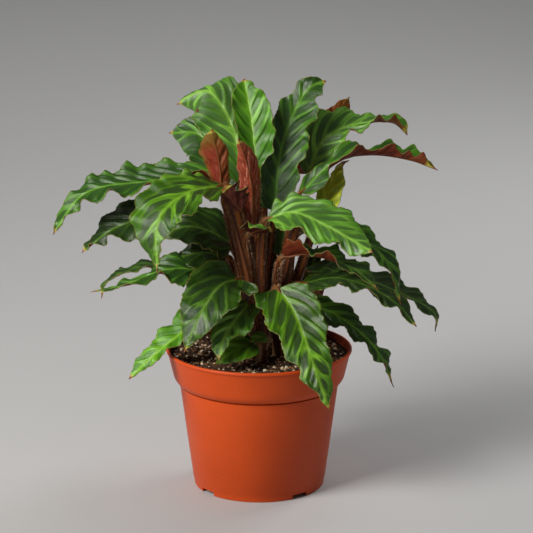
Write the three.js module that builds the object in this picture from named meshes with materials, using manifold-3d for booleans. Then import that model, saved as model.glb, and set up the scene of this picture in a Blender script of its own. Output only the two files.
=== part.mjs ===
// A calathea in its nursery pot: a plastic pot, the soil that fills it, five shoots of stalks
// that stand in the soil, and the leaf blades, each on the end of its own stalk.
// Millimetres, +Z up. The origin is the middle of the pot's underside, on its axis.
// The front of the plant faces -Y, and its left side is -X.

import * as THREE from 'three';
import { mergeVertices } from 'three/addons/utils/BufferGeometryUtils.js';
import Module from 'manifold-3d';

const wasm = await Module();
wasm.setup();

const GAP = 0.3;

// Pot: a 15 cm round nursery pot with a deep collar and a rolled lip.
const POT_HEIGHT = 114.6;
const LIP_RADIUS = 75;
const LIP_HEIGHT = 2.8;
const LIP_STANDS_PROUD = 1.3;
const LIP_WIDTH = 2.6;
const LIP_ROUND = 0.6;
const COLLAR_FOOT_Z = 90.3;
const COLLAR_FOOT_RADIUS = 69.4;
const SHOULDER_Z = 85;
const SHOULDER_RADIUS = 64.5;
const BASE_RADIUS = 53;
const WALL = 1.5;
const POT_SIDES = 48;

// Underside: a foot ring, a raised channel with the drain holes, and a flat middle.
const FOOT_RING_WIDTH = 1.9;
const CHANNEL_HEIGHT = 4;
const CHANNEL_SLOPE = 2;
const MIDDLE_RADIUS = 30;
const DRAIN_HOLES = 8;
const DRAIN_HOLE_RADIUS = 4;
const DRAIN_HOLE_SIDES = 12;
const DRAIN_CIRCLE_RADIUS = 41;
const FOOT_NOTCHES = 4;
const FOOT_NOTCH_WIDTH = 14.5;
const FOOT_NOTCH_HEIGHT = 3.7;
const FOOT_NOTCH_DEPTH = 12;
const FIRST_NOTCH_DEGREES = -51.5;

// Soil: a crumbly top a finger's breadth under the lip.
const SOIL_LEVEL = 106;
const SOIL_SIDES = POT_SIDES;
const SOIL_RINGS = 7;
const SOIL_ROUGHNESS = 1.3;
const SOIL_MOUND = 1.5;
const GRAINS = 46;
const GRAIN_RADIUS = [1.7, 2.8];
const GRAIN_SINK = 0.3;
const GRAINS_FROM_RADIUS = 22;
const GRAINS_OFF_WALL = 6;
const HOLE_DEPTH = 15;
const HOLE_SIDES = 16;

// Shoots: a short sheath that stands in the soil, with the stalks rising out of it.
const SHEATH_RADIUS = 6.2;
const SHEATH_TOP = 16;
const SHEATH_SHOULDER = 4;
const SHEATH_SIDES = 10;
const STALK_RING = 2.6;
const STALK_START = 7;
const STALK_RADIUS = 2.1;
const STALK_RADIUS_PER_WIDTH = 0.06;
const STALK_THINNEST = 0.6;
const STALK_SIDES = 5;
const STALK_STEPS_PER_100 = 7;
const STALK_RISE = 0.4;
const STALK_LEAST_RISE = 24;
const STALK_KNEE = 12;
const STALK_KNEE_SHARE = 0.2;

// Blades: thin, folded along the rib and waved towards the margin.
const BLADE_THICKNESS = 0.8;
const BLADE_STATION = 10;
const FEWEST_STEPS = 4;
const HALF_STRIPS = 2;
const BLADE_END_HALF_WIDTH = 1.3;
const OUTLINE_POWER = 1.6;
const WAVE_LENGTH = 30;
const WAVE_SWEEP = 0.45;
const WAVE_FADE = 0.6;
const OTHER_HALF_PHASE = 0.4;

const radians = THREE.MathUtils.degToRad;

// Where each shoot stands in the soil, [x, y].
const SHOOTS = {
  middle: [-1, 1],
  west: [-17, 0],
  south: [0, -17],
  east: [16, 1],
  north: [0, 19],
};

// Each blade's rib runs from its stalk to its tip. looks gives the direction that the upper face
// looks in, at the stalk and at the tip. fold lifts both halves about the rib, in degrees, at the
// stalk and at the tip. wave is the height of the margin's waves, phase shifts them along, and
// belly is where along the rib the blade is widest.
const BLADES = [
  { name: 'leaf_01_back_left_broad', shoot: 'north', width: 50, looks: [[2, -9, 4], [-2, -5, 8]],
    fold: [14, -32], wave: 2.4, phase: 0.1, belly: 0.44,
    rib: [[-13, 20, 243], [-21, 39, 285], [-38, 51, 312], [-54, 60, 310], [-67, 62, 301]] },
  { name: 'leaf_02_back_left', shoot: 'north', width: 42, looks: [[1, -8, 5], [-2, -6, 7]],
    fold: [12, -20], wave: 2.4, phase: 0.6, belly: 0.42,
    rib: [[-20, 40, 226], [-32, 53, 257], [-49, 63, 276], [-74, 70, 276]] },
  { name: 'leaf_03_bright_upright', shoot: 'middle', width: 35, looks: [[1, -9, 3], [1, -9, 4]],
    fold: [24, 18], wave: 2.2, phase: 0.3, belly: 0.46,
    rib: [[-1, 11, 249], [-4, 16, 277], [-7, 21, 302], [-12, 30, 328]] },
  { name: 'leaf_04_tall_dark', shoot: 'middle', width: 39, looks: [[-1, -9, 3], [1, -8, 6]],
    fold: [16, 10], wave: 2.6, phase: 0.75, belly: 0.40,
    rib: [[12, 14, 224], [17, 24, 267], [27, 34, 298], [40, 42, 318], [54, 48, 323]] },
  { name: 'leaf_05_right_high', shoot: 'north', width: 42, looks: [[1, -8, 4], [2, 3, 9]],
    fold: [14, 16], wave: 2.8, phase: 0.2, belly: 0.40,
    rib: [[39, 34, 248], [52, 44, 275], [75, 52, 286], [107, 60, 287], [121, 60, 276]] },
  { name: 'leaf_06_right_folded', shoot: 'east', width: 31, looks: [[0, -7, 7], [0, 5, 9]],
    fold: [24, 50], wave: 2.6, phase: 0.0, belly: 0.42,
    rib: [[33, 6, 240], [60, 8, 265], [89, 8, 271], [120, 6, 267], [142, 4, 259]] },
  { name: 'leaf_07_young_rolled', shoot: 'east', width: 22, looks: [[-3, -8, 3], [-3, -8, 3]],
    fold: [66, 58], wave: 0.6, phase: 0.0, belly: 0.42,
    rib: [[49, 10, 223], [58, 14, 246], [65, 16, 260], [72, 18, 264]] },
  { name: 'leaf_08_front_right_large', shoot: 'south', width: 47, looks: [[0, -6, 8], [2, -6, 8]],
    fold: [4, -8], wave: 3.0, phase: 0.5, belly: 0.40,
    rib: [[7, -14, 224], [28, -28, 232], [54, -46, 225], [88, -64, 209]] },
  { name: 'leaf_09_right_behind_large', shoot: 'east', width: 32, looks: [[0, -4, 8], [5, -5, 6]],
    fold: [6, -8], wave: 2.6, phase: 0.1, belly: 0.40,
    rib: [[33, -2, 217], [66, -8, 214], [98, -22, 195], [112, -34, 159]] },
  { name: 'leaf_10_front_right_arched', shoot: 'east', width: 30, looks: [[0, 3, 9], [3, -5, 8]],
    fold: [32, -4], wave: 2.4, phase: 0.8, belly: 0.40,
    rib: [[20, -22, 195], [37, -28, 199], [58, -38, 196], [76, -46, 190], [93, -54, 176]] },
  { name: 'leaf_11_right_low', shoot: 'east', width: 34, looks: [[0, -2, 9], [4, -5, 7]],
    fold: [8, -8], wave: 2.6, phase: 0.4, belly: 0.42,
    rib: [[34, -8, 169], [61, -12, 175], [88, -18, 169], [110, -24, 156], [125, -28, 139]] },
  { name: 'leaf_12_right_low_long', shoot: 'east', width: 38, looks: [[0, -3, 9], [5, -4, 7]],
    fold: [6, -10], wave: 2.8, phase: 0.65, belly: 0.42,
    rib: [[35, 14, 173], [70, 20, 171], [115, 26, 152], [142, 26, 136], [144, 24, 120]] },
  { name: 'leaf_13_right_over_rim', shoot: 'east', width: 33, looks: [[1, -4, 8], [6, -6, 4]],
    fold: [6, -8], wave: 2.8, phase: 0.15, belly: 0.40,
    rib: [[36, 12, 148], [64, 7, 138], [94, 0, 113], [109, -4, 81]] },
  { name: 'leaf_14_front_hanging', shoot: 'south', width: 50, looks: [[0, -7, 7], [1, -8, 5]],
    fold: [6, -4], wave: 3.0, phase: 0.35, belly: 0.26,
    rib: [[15, -26, 170], [29, -50, 154], [42, -78, 123], [55, -86, 88]] },
  { name: 'leaf_15_front_left', shoot: 'south', width: 48, looks: [[-1, -6, 7], [-2, -7, 6]],
    fold: [4, -8], wave: 2.8, phase: 0.9, belly: 0.34,
    rib: [[-16, -22, 177], [-31, -38, 175], [-45, -58, 159], [-58, -72, 131]] },
  { name: 'leaf_16_left_high_front', shoot: 'south', width: 49, looks: [[-1, -6, 8], [-4, -8, 5]],
    fold: [2, -6], wave: 2.8, phase: 0.55, belly: 0.40,
    rib: [[-29, -20, 252], [-55, -40, 251], [-77, -60, 234], [-78, -73, 195]] },
  { name: 'leaf_17_left_longest', shoot: 'west', width: 40, looks: [[2, 3, 8], [-3, -7, 7]],
    fold: [12, -4], wave: 3.0, phase: 0.25, belly: 0.46,
    rib: [[-16, 12, 226], [-41, 17, 251], [-87, 13, 248], [-137, 4, 241], [-164, -2, 208]] },
  { name: 'leaf_18_left_middle', shoot: 'west', width: 37, looks: [[0, -5, 8], [-4, -6, 7]],
    fold: [4, -10], wave: 2.6, phase: 0.7, belly: 0.46,
    rib: [[-38, 22, 206], [-72, 16, 220], [-113, 8, 212], [-142, 6, 191]] },
  { name: 'leaf_19_left_striped', shoot: 'west', width: 38, looks: [[0, -5, 8], [-1, -5, 8]],
    fold: [4, -8], wave: 2.2, phase: 0.45, belly: 0.42,
    rib: [[-22, 8, 198], [-40, 2, 210], [-58, -4, 215], [-80, -8, 208]] },
  { name: 'leaf_20_left_inner', shoot: 'west', width: 32, looks: [[0, -4, 8], [-1, -4, 8]],
    fold: [4, -8], wave: 2.2, phase: 0.05, belly: 0.40,
    rib: [[-26, 10, 182], [-42, 6, 190], [-56, 2, 194], [-72, 0, 193]] },
  { name: 'leaf_21_left_low', shoot: 'west', width: 36, looks: [[0, -6, 8], [-1, 1, 9]],
    fold: [2, 4], wave: 2.6, phase: 0.85, belly: 0.34,
    rib: [[-24, -10, 167], [-50, -12, 181], [-76, -19, 183], [-106, -26, 173], [-133, -30, 168]] },
  { name: 'leaf_22_left_low_behind', shoot: 'west', width: 32, looks: [[0, 0, 9], [-4, 0, 8]],
    fold: [10, -6], wave: 2.6, phase: 0.3, belly: 0.42,
    rib: [[-34, 16, 170], [-64, 14, 180], [-97, 10, 178], [-122, 8, 167], [-127, 6, 153]] },
  { name: 'leaf_23_left_over_rim', shoot: 'west', width: 26, looks: [[-1, -6, 7], [-3, -7, 6]],
    fold: [4, -8], wave: 2.4, phase: 0.6, belly: 0.34,
    rib: [[-42, -14, 147], [-60, -26, 135], [-82, -36, 119], [-103, -42, 100]] },
  { name: 'leaf_24_front_low', shoot: 'south', width: 40, looks: [[0, -7, 7], [-1, -8, 5]],
    fold: [4, -6], wave: 2.2, phase: 0.15, belly: 0.34,
    rib: [[-7, -24, 158], [-17, -40, 150], [-27, -52, 137], [-31, -60, 120]] },
  { name: 'leaf_25_small_at_soil', shoot: 'south', width: 27, looks: [[0, -6, 8], [-1, -6, 8]],
    fold: [6, -6], wave: 1.2, phase: 0.5, belly: 0.34,
    rib: [[-2, -28, 125], [-15, -38, 126], [-31, -50, 118]] },
  { name: 'leaf_26_baby', shoot: 'south', width: 12, looks: [[0, -7, 7], [0, -7, 7]],
    fold: [10, 0], wave: 0.5, phase: 0.2, belly: 0.40,
    rib: [[7, -24, 128], [0, -30, 131], [-7, -36, 129]] },
  { name: 'leaf_27_red_young', shoot: 'south', width: 24, looks: [[0, 9, 2], [0, 9, 2]],
    fold: [22, 16], wave: 1.0, phase: 0.4, belly: 0.38,
    rib: [[-29, -9, 241], [-31, -12, 268], [-37, -13, 296]] },
  { name: 'leaf_28_red_half_rolled', shoot: 'middle', width: 26, looks: [[-3, 9, 2], [-3, 9, 2]],
    fold: [44, 34], wave: 1.0, phase: 0.0, belly: 0.42,
    rib: [[-4, -10, 218], [-7, -12, 257], [-16, -14, 288]] },
  { name: 'leaf_29_inner_dark', shoot: 'north', width: 20, looks: [[0, -9, 3], [0, -9, 3]],
    fold: [10, 0], wave: 1.4, phase: 0.1, belly: 0.44,
    rib: [[19, 14, 186], [20, 16, 203], [24, 20, 221]] },
  { name: 'leaf_30_inner_right', shoot: 'east', width: 18, looks: [[-2, -9, 2], [-2, -9, 2]],
    fold: [10, 0], wave: 1.4, phase: 0.7, belly: 0.44,
    rib: [[34, 20, 150], [42, 30, 171], [48, 38, 189]] },
  { name: 'leaf_31_back_right_high', shoot: 'north', width: 38, looks: [[-2, 9, 3], [0, 9, 3]],
    fold: [12, 4], wave: 2.6, phase: 0.35, belly: 0.40,
    rib: [[32, 50, 247], [57, 70, 284], [74, 80, 304]] },
  { name: 'leaf_32_back_high', shoot: 'north', width: 40, looks: [[0, -5, 8], [0, 5, 8]],
    fold: [12, -8], wave: 2.8, phase: 0.8, belly: 0.40,
    rib: [[2, 44, 238], [-2, 76, 262], [-8, 108, 256], [-12, 136, 226]] },
  { name: 'leaf_33_back_left_middle', shoot: 'north', width: 36, looks: [[0, 0, 9], [-4, 4, 8]],
    fold: [10, -8], wave: 2.4, phase: 0.0, belly: 0.40,
    rib: [[-24, 34, 188], [-50, 56, 203], [-78, 76, 200], [-92, 88, 184]] },
  { name: 'leaf_34_back_right_middle', shoot: 'north', width: 36, looks: [[0, 0, 9], [4, 4, 8]],
    fold: [10, -8], wave: 2.4, phase: 0.55, belly: 0.40,
    rib: [[32, 42, 197], [48, 62, 205], [68, 82, 199], [80, 94, 180]] },
  { name: 'leaf_35_back_middle', shoot: 'north', width: 38, looks: [[0, 0, 9], [1, 5, 8]],
    fold: [10, -8], wave: 2.6, phase: 0.25, belly: 0.40,
    rib: [[2, 42, 184], [8, 72, 198], [14, 106, 188], [18, 134, 156]] },
  { name: 'leaf_36_back_left_low', shoot: 'north', width: 34, looks: [[0, 1, 9], [-4, 6, 7]],
    fold: [10, -8], wave: 2.4, phase: 0.9, belly: 0.40,
    rib: [[-14, 38, 162], [-30, 64, 166], [-48, 90, 152], [-58, 106, 126]] },
  { name: 'leaf_37_back_right_low', shoot: 'north', width: 34, looks: [[0, 1, 9], [4, 6, 7]],
    fold: [10, -8], wave: 2.4, phase: 0.1, belly: 0.40,
    rib: [[16, 40, 146], [28, 66, 152], [42, 94, 140], [50, 112, 112]] },
  { name: 'leaf_38_back_left_over_rim', shoot: 'west', width: 28, looks: [[0, 1, 9], [-6, 3, 7]],
    fold: [10, -8], wave: 2.2, phase: 0.45, belly: 0.40,
    rib: [[-25, 26, 140], [-42, 44, 145], [-56, 60, 134], [-66, 70, 108]] },
  { name: 'leaf_39_back_over_rim', shoot: 'north', width: 34, looks: [[0, 1, 9], [0, 7, 6]],
    fold: [10, -8], wave: 2.4, phase: 0.7, belly: 0.40,
    rib: [[-3, 38, 141], [-6, 64, 147], [-10, 94, 133], [-12, 116, 99]] },
  { name: 'leaf_40_middle_frilled', shoot: 'south', width: 13, looks: [[0, 4, 9], [0, 4, 9]],
    fold: [20, 10], wave: 1.4, phase: 0.2, belly: 0.44,
    rib: [[-9, -22, 214], [-1, -26, 218], [7, -29, 218]] },
];

const finishes = {
  terracotta: { color: 0xb4481f, roughness: 0.42, metalness: 0 },
  peat: { color: 0x2c2019, roughness: 0.95, metalness: 0 },
  stalk: { color: 0x6e3a26, roughness: 0.7, metalness: 0 },
  green: { color: 0x2f6b24, roughness: 0.35, metalness: 0 },
  bright: { color: 0x5f9a34, roughness: 0.35, metalness: 0 },
  burgundy: { color: 0x5a1c18, roughness: 0.6, metalness: 0 },
};

const FINISH_OF = {
  leaf_03_bright_upright: 'bright',
  leaf_07_young_rolled: 'bright',
  leaf_25_small_at_soil: 'bright',
  leaf_27_red_young: 'burgundy',
  leaf_28_red_half_rolled: 'burgundy',
};

// ---------- small helpers ----------

function seeded(seed) {
  let state = seed;
  return () => {
    state = (state * 1664525 + 1013904223) % 4294967296;
    return state / 4294967296;
  };
}

// Shared vertices merged and collapsed triangles dropped, with only positions left.
function weld(geometry) {
  const bare = geometry.clone();
  bare.deleteAttribute('normal');
  bare.deleteAttribute('uv');
  const merged = mergeVertices(bare, 1e-4);
  const old = merged.index.array;
  const kept = [];
  for (let i = 0; i < old.length; i += 3) {
    const [a, b, c] = [old[i], old[i + 1], old[i + 2]];
    if (a !== b && b !== c && c !== a) {
      kept.push(a, b, c);
    }
  }
  merged.setIndex(kept);
  return merged;
}

function solidOf(geometry) {
  const welded = weld(geometry);
  const mesh = new wasm.Mesh({
    numProp: 3,
    vertProperties: Float32Array.from(welded.attributes.position.array),
    triVerts: Uint32Array.from(welded.index.array),
  });
  return new wasm.Manifold(mesh);
}

function geometryOf(solid) {
  const mesh = solid.getMesh();
  const geometry = new THREE.BufferGeometry();
  geometry.setAttribute('position', new THREE.BufferAttribute(mesh.vertProperties, 3));
  geometry.setIndex(new THREE.BufferAttribute(mesh.triVerts, 1));
  return geometry;
}

function lathe(profile, sides) {
  const points = profile.map(([r, z]) => new THREE.Vector2(r, z));
  const turned = new THREE.LatheGeometry(points, sides);
  turned.rotateX(Math.PI / 2);
  return turned;
}

function upright(radius, z0, z1, x, y, sides) {
  const post = new THREE.CylinderGeometry(radius, radius, z1 - z0, sides);
  post.rotateX(Math.PI / 2);
  post.translate(x, y, (z0 + z1) / 2);
  return post;
}

function meshOf(name, geometry, finish) {
  const mesh = new THREE.Mesh(geometry, new THREE.MeshStandardMaterial(finishes[finish]));
  mesh.name = name;
  return mesh;
}

// ---------- pot ----------

const collarTopRadius = LIP_RADIUS - LIP_STANDS_PROUD;
const lipFootZ = POT_HEIGHT - LIP_HEIGHT;
const floorTop = CHANNEL_HEIGHT + WALL;

// The pot's inside, from the middle of the floor up to the lip.
const INSIDE = [
  [0, WALL],
  [MIDDLE_RADIUS, WALL],
  [MIDDLE_RADIUS + 1.5 * CHANNEL_SLOPE, floorTop],
  [BASE_RADIUS - 0.6 * WALL, floorTop],
  [SHOULDER_RADIUS - WALL, SHOULDER_Z + 0.4 * WALL],
  [COLLAR_FOOT_RADIUS - WALL, COLLAR_FOOT_Z + 0.7 * WALL],
  [collarTopRadius - WALL, lipFootZ],
];

function potGeometry() {
  const outside = [
    [LIP_RADIUS - LIP_WIDTH, POT_HEIGHT],
    [LIP_RADIUS - LIP_ROUND, POT_HEIGHT],
    [LIP_RADIUS, POT_HEIGHT - LIP_ROUND],
    [LIP_RADIUS, lipFootZ + LIP_ROUND],
    [collarTopRadius, lipFootZ],
    [COLLAR_FOOT_RADIUS, COLLAR_FOOT_Z],
    [SHOULDER_RADIUS, SHOULDER_Z],
    [BASE_RADIUS, 0],
    [BASE_RADIUS - FOOT_RING_WIDTH, 0],
    [BASE_RADIUS - FOOT_RING_WIDTH, CHANNEL_HEIGHT],
    [MIDDLE_RADIUS + CHANNEL_SLOPE, CHANNEL_HEIGHT],
    [MIDDLE_RADIUS, 0],
    [0, 0],
  ];
  const ring = [...INSIDE].concat(outside).reverse();
  let pot = solidOf(lathe(ring, POT_SIDES));
  for (let i = 0; i < DRAIN_HOLES; i += 1) {
    const turn = radians(FIRST_NOTCH_DEGREES + (360 * i) / DRAIN_HOLES);
    const x = DRAIN_CIRCLE_RADIUS * Math.cos(turn);
    const y = DRAIN_CIRCLE_RADIUS * Math.sin(turn);
    const hole = upright(DRAIN_HOLE_RADIUS, 0, 2 * floorTop, x, y, DRAIN_HOLE_SIDES);
    pot = pot.subtract(solidOf(hole));
  }
  for (let i = 0; i < FOOT_NOTCHES; i += 1) {
    const notch = new THREE.BoxGeometry(FOOT_NOTCH_DEPTH, FOOT_NOTCH_WIDTH, 2 * FOOT_NOTCH_HEIGHT);
    notch.translate(BASE_RADIUS, 0, 0);
    notch.rotateZ(radians(FIRST_NOTCH_DEGREES + (360 * i) / FOOT_NOTCHES));
    pot = pot.subtract(solidOf(notch));
  }
  return geometryOf(pot);
}

// ---------- soil ----------

function insideRadiusAt(z) {
  for (let i = 1; i < INSIDE.length; i += 1) {
    const [r0, z0] = INSIDE[i - 1];
    const [r1, z1] = INSIDE[i];
    if (z1 > z0 && z >= z0 && z <= z1) {
      return r0 + ((r1 - r0) * (z - z0)) / (z1 - z0);
    }
  }
  return collarTopRadius - WALL;
}

// The body fills the pot up to the soil level. Every point of its top moves up or down by a
// seeded draw, and grains of bark and perlite stand out of it.
function soilGeometry() {
  const draw = seeded(11);
  const edge = insideRadiusAt(SOIL_LEVEL - SOIL_ROUGHNESS) - GAP;
  const profile = [[0, INSIDE[0][1] + GAP]];
  for (const [r, z] of INSIDE.slice(1, 6)) {
    profile.push([r - 1.5 * GAP, z + GAP]);
  }
  for (let i = 0; i <= SOIL_RINGS; i += 1) {
    profile.push([edge * (1 - i / SOIL_RINGS), SOIL_LEVEL]);
  }
  const body = weld(lathe(profile, SOIL_SIDES));
  const place = body.attributes.position;
  for (let i = 0; i < place.count; i += 1) {
    const r = Math.hypot(place.getX(i), place.getY(i));
    if (place.getZ(i) > SOIL_LEVEL - 0.01) {
      const rise = (draw() - 0.5) * 2 * SOIL_ROUGHNESS;
      const mound = SOIL_MOUND * (1 - r / edge);
      place.setZ(i, SOIL_LEVEL + mound + (r > edge - 1 ? -Math.abs(rise) : rise));
    }
  }
  let soil = solidOf(body);
  for (let i = 0; i < GRAINS; i += 1) {
    const turn = 2 * Math.PI * draw();
    const reach = edge - GRAINS_OFF_WALL - GRAINS_FROM_RADIUS;
    const r = GRAINS_FROM_RADIUS + reach * Math.sqrt(draw());
    const size = GRAIN_RADIUS[0] + (GRAIN_RADIUS[1] - GRAIN_RADIUS[0]) * draw();
    const grain = new THREE.OctahedronGeometry(size, 0);
    grain.rotateX(draw() * 3);
    grain.rotateZ(draw() * 3);
    grain.translate(r * Math.cos(turn), r * Math.sin(turn), SOIL_LEVEL - GRAIN_SINK);
    soil = soil.add(solidOf(grain));
  }
  for (const [x, y] of Object.values(SHOOTS)) {
    const bottom = SOIL_LEVEL - HOLE_DEPTH;
    const top = SOIL_LEVEL + HOLE_DEPTH;
    const hole = upright(SHEATH_RADIUS + GAP, bottom, top, x, y, HOLE_SIDES);
    soil = soil.subtract(solidOf(hole));
  }
  // A crumb that a hole has cut loose is dropped.
  const pieces = soil.decompose().sort((a, b) => b.volume() - a.volume());
  return geometryOf(pieces[0]);
}

// ---------- blades ----------

function ribOf(blade) {
  const points = blade.rib.map((p) => new THREE.Vector3(...p));
  return new THREE.CatmullRomCurve3(points, false, 'catmullrom', 0.5);
}

// Half the blade's width at s, from 0 at the stalk to 1 at the tip.
function halfWidth(blade, s) {
  const bow = (t) => (t ** blade.belly * (1 - t) ** (1 - blade.belly)) ** OUTLINE_POWER;
  return Math.max(BLADE_END_HALF_WIDTH, ((blade.width / 2) * bow(s)) / bow(blade.belly));
}

// A point of the blade's middle surface: s runs along the rib and c across it, from -1 to 1.
function bladePoint(blade, rib, length, s, c) {
  const along = rib.getTangentAt(s);
  const first = new THREE.Vector3(...blade.looks[0]).normalize();
  const up = first.lerp(new THREE.Vector3(...blade.looks[1]).normalize(), s);
  up.addScaledVector(along, -up.dot(along)).normalize();
  const side = new THREE.Vector3().crossVectors(up, along);
  const reach = Math.abs(c) * halfWidth(blade, s);
  const lift = radians(THREE.MathUtils.lerp(blade.fold[0], blade.fold[1], s));
  const phase = blade.phase + (c > 0 ? 0 : OTHER_HALF_PHASE);
  const crest = (s * length - WAVE_SWEEP * reach) / WAVE_LENGTH + phase;
  const ends = Math.sin(Math.PI * Math.min(1, Math.max(0, s))) ** WAVE_FADE;
  const wave = blade.wave * ends * c * c * Math.sin(2 * Math.PI * crest);
  const point = rib.getPointAt(s);
  point.addScaledVector(side, Math.sign(c) * reach * Math.cos(lift));
  point.addScaledVector(up, reach * Math.sin(lift) + wave);
  return point;
}

// Both faces share one grid and one way of splitting it, so they never cross.
function bladeGeometry(blade) {
  const rib = ribOf(blade);
  const length = rib.getLength();
  const stations = Math.max(FEWEST_STEPS, Math.round(length / BLADE_STATION));
  const columns = 2 * HALF_STRIPS;
  const grid = [];
  for (let i = 0; i <= stations; i += 1) {
    const row = [];
    for (let j = 0; j <= columns; j += 1) {
      row.push(bladePoint(blade, rib, length, i / stations, j / HALF_STRIPS - 1));
    }
    grid.push(row);
  }
  const positions = [];
  for (const face of [1, -1]) {
    for (let i = 0; i <= stations; i += 1) {
      for (let j = 0; j <= columns; j += 1) {
        const before = grid[Math.max(0, i - 1)][j];
        const after = grid[Math.min(stations, i + 1)][j];
        const right = grid[i][Math.max(0, j - 1)];
        const left = grid[i][Math.min(columns, j + 1)];
        const along = new THREE.Vector3().subVectors(after, before);
        const across = new THREE.Vector3().subVectors(left, right);
        const normal = along.cross(across).normalize();
        const point = grid[i][j].clone();
        point.addScaledVector(normal, (face * BLADE_THICKNESS) / 2);
        positions.push(point.x, point.y, point.z);
      }
    }
  }
  const wide = columns + 1;
  const under = (stations + 1) * wide;
  const index = [];
  const quad = (a, b, c, d) => index.push(a, b, c, a, c, d);
  for (let i = 0; i < stations; i += 1) {
    for (let j = 0; j < columns; j += 1) {
      const a = i * wide + j;
      const b = a + wide;
      index.push(a, b, b + 1, a, b + 1, a + 1);
      index.push(under + a, under + b + 1, under + b, under + a, under + a + 1, under + b + 1);
    }
    const right = i * wide;
    const left = right + columns;
    quad(right, under + right, under + right + wide, right + wide);
    quad(left, left + wide, under + left + wide, under + left);
  }
  for (let j = 0; j < columns; j += 1) {
    const last = stations * wide + j;
    quad(j, j + 1, under + j + 1, under + j);
    quad(last, under + last, under + last + 1, last + 1);
  }
  const geometry = new THREE.BufferGeometry();
  geometry.setAttribute('position', new THREE.Float32BufferAttribute(positions, 3));
  geometry.setIndex(index);
  return geometry;
}

// ---------- shoots ----------

// A stalk leaves the sheath upwards and arrives at its blade along the rib.
function stalkGeometry(blade, foot) {
  const rib = ribOf(blade);
  const along = rib.getTangentAt(0);
  const end = rib.getPointAt(0).addScaledVector(along, -GAP);
  const span = foot.distanceTo(end);
  const climb = Math.max(STALK_LEAST_RISE, STALK_RISE * span);
  const rise = foot.clone().add(new THREE.Vector3(0, 0, climb));
  const knee = Math.min(STALK_KNEE, STALK_KNEE_SHARE * span);
  const arrive = end.clone().addScaledVector(along, -knee);
  const path = new THREE.CubicBezierCurve3(foot, rise, arrive, end);
  const section = new THREE.Shape();
  const slim = STALK_THINNEST + STALK_RADIUS_PER_WIDTH * blade.width;
  const radius = Math.min(STALK_RADIUS, slim);
  for (let i = 0; i < STALK_SIDES; i += 1) {
    const turn = (2 * Math.PI * i) / STALK_SIDES;
    const corner = [radius * Math.cos(turn), radius * Math.sin(turn)];
    if (i === 0) {
      section.moveTo(...corner);
    } else {
      section.lineTo(...corner);
    }
  }
  section.closePath();
  const steps = Math.max(FEWEST_STEPS, Math.round((STALK_STEPS_PER_100 * span) / 100));
  return new THREE.ExtrudeGeometry(section, { steps, extrudePath: path, bevelEnabled: false });
}

function shootGeometry(name) {
  const [x, y] = SHOOTS[name];
  const bottom = SOIL_LEVEL - HOLE_DEPTH + GAP;
  const top = SOIL_LEVEL + SHEATH_TOP;
  const sheath = lathe([
    [0, top],
    [SHEATH_RADIUS * 0.6, top - 1],
    [SHEATH_RADIUS, SOIL_LEVEL + SHEATH_SHOULDER],
    [SHEATH_RADIUS, bottom],
    [0, bottom],
  ].reverse(), SHEATH_SIDES);
  sheath.translate(x, y, 0);
  const stalks = BLADES.filter((blade) => blade.shoot === name);
  const parts = [solidOf(sheath)];
  stalks.forEach((blade) => {
    const turn = Math.atan2(blade.rib[0][1] - y, blade.rib[0][0] - x);
    const foot = new THREE.Vector3(
      x + STALK_RING * Math.cos(turn),
      y + STALK_RING * Math.sin(turn),
      bottom + STALK_START,
    );
    parts.push(solidOf(stalkGeometry(blade, foot)));
  });
  return geometryOf(wasm.Manifold.union(parts));
}

// ---------- the plant ----------

const plant = new THREE.Group();
plant.name = 'potted_calathea';
plant.add(meshOf('pot', potGeometry(), 'terracotta'));
plant.add(meshOf('soil', soilGeometry(), 'peat'));
for (const name of Object.keys(SHOOTS)) {
  plant.add(meshOf(`shoot_${name}`, shootGeometry(name), 'stalk'));
}
for (const blade of BLADES) {
  plant.add(meshOf(blade.name, bladeGeometry(blade), FINISH_OF[blade.name] ?? 'green'));
}

export default plant;
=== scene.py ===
"""A potted calathea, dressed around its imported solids.

The pot, the soil, the shoots and the leaves each have a class of their own. Sizes are in
millimetres in the row frame, +Z up, and are turned into metres where a mesh is made. The front of
the plant faces -Y and its left side is -X.
"""

import logging
import math
from dataclasses import dataclass
from enum import Enum

import bpy
import numpy as np
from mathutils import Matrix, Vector, noise

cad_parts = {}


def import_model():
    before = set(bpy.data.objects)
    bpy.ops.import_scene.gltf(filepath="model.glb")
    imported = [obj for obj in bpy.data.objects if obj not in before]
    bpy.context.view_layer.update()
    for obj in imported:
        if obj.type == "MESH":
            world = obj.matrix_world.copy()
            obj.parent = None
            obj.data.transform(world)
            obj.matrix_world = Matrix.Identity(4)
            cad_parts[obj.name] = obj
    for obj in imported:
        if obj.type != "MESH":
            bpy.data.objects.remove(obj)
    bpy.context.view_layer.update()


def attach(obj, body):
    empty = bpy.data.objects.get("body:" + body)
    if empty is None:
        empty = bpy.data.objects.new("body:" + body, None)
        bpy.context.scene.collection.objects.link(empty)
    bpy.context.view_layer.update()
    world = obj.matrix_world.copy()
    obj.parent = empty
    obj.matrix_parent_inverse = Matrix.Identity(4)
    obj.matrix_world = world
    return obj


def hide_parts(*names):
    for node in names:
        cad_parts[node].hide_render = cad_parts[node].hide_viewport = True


MM = 0.001
TURN = 2 * math.pi
GOLDEN = 0.618
WELD = 0.00001
ROOT = "root"
LOG = logging.getLogger("calathea")

Piece = bpy.types.Object
Material = bpy.types.Material
Socket = bpy.types.NodeSocket
Array = np.ndarray
Colour = tuple[float, float, float]
Point = tuple[float, float, float]
Pair = tuple[float, float]

MARGIN_GOLD: Colour = (0.19, 0.19, 0.025)
TIP_YELLOW: Colour = (0.36, 0.3, 0.04)
TIP_BROWN: Colour = (0.2, 0.065, 0.015)
# Painted sheen: the pink of bright streaks on the young leaves' undersides.
PAINTED_SHEEN_PINK: Colour = (0.66, 0.26, 0.17)
RIB_BELOW: Colour = (0.22, 0.07, 0.02)
SOIL_DUST: Colour = (0.03, 0.016, 0.008)


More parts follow.
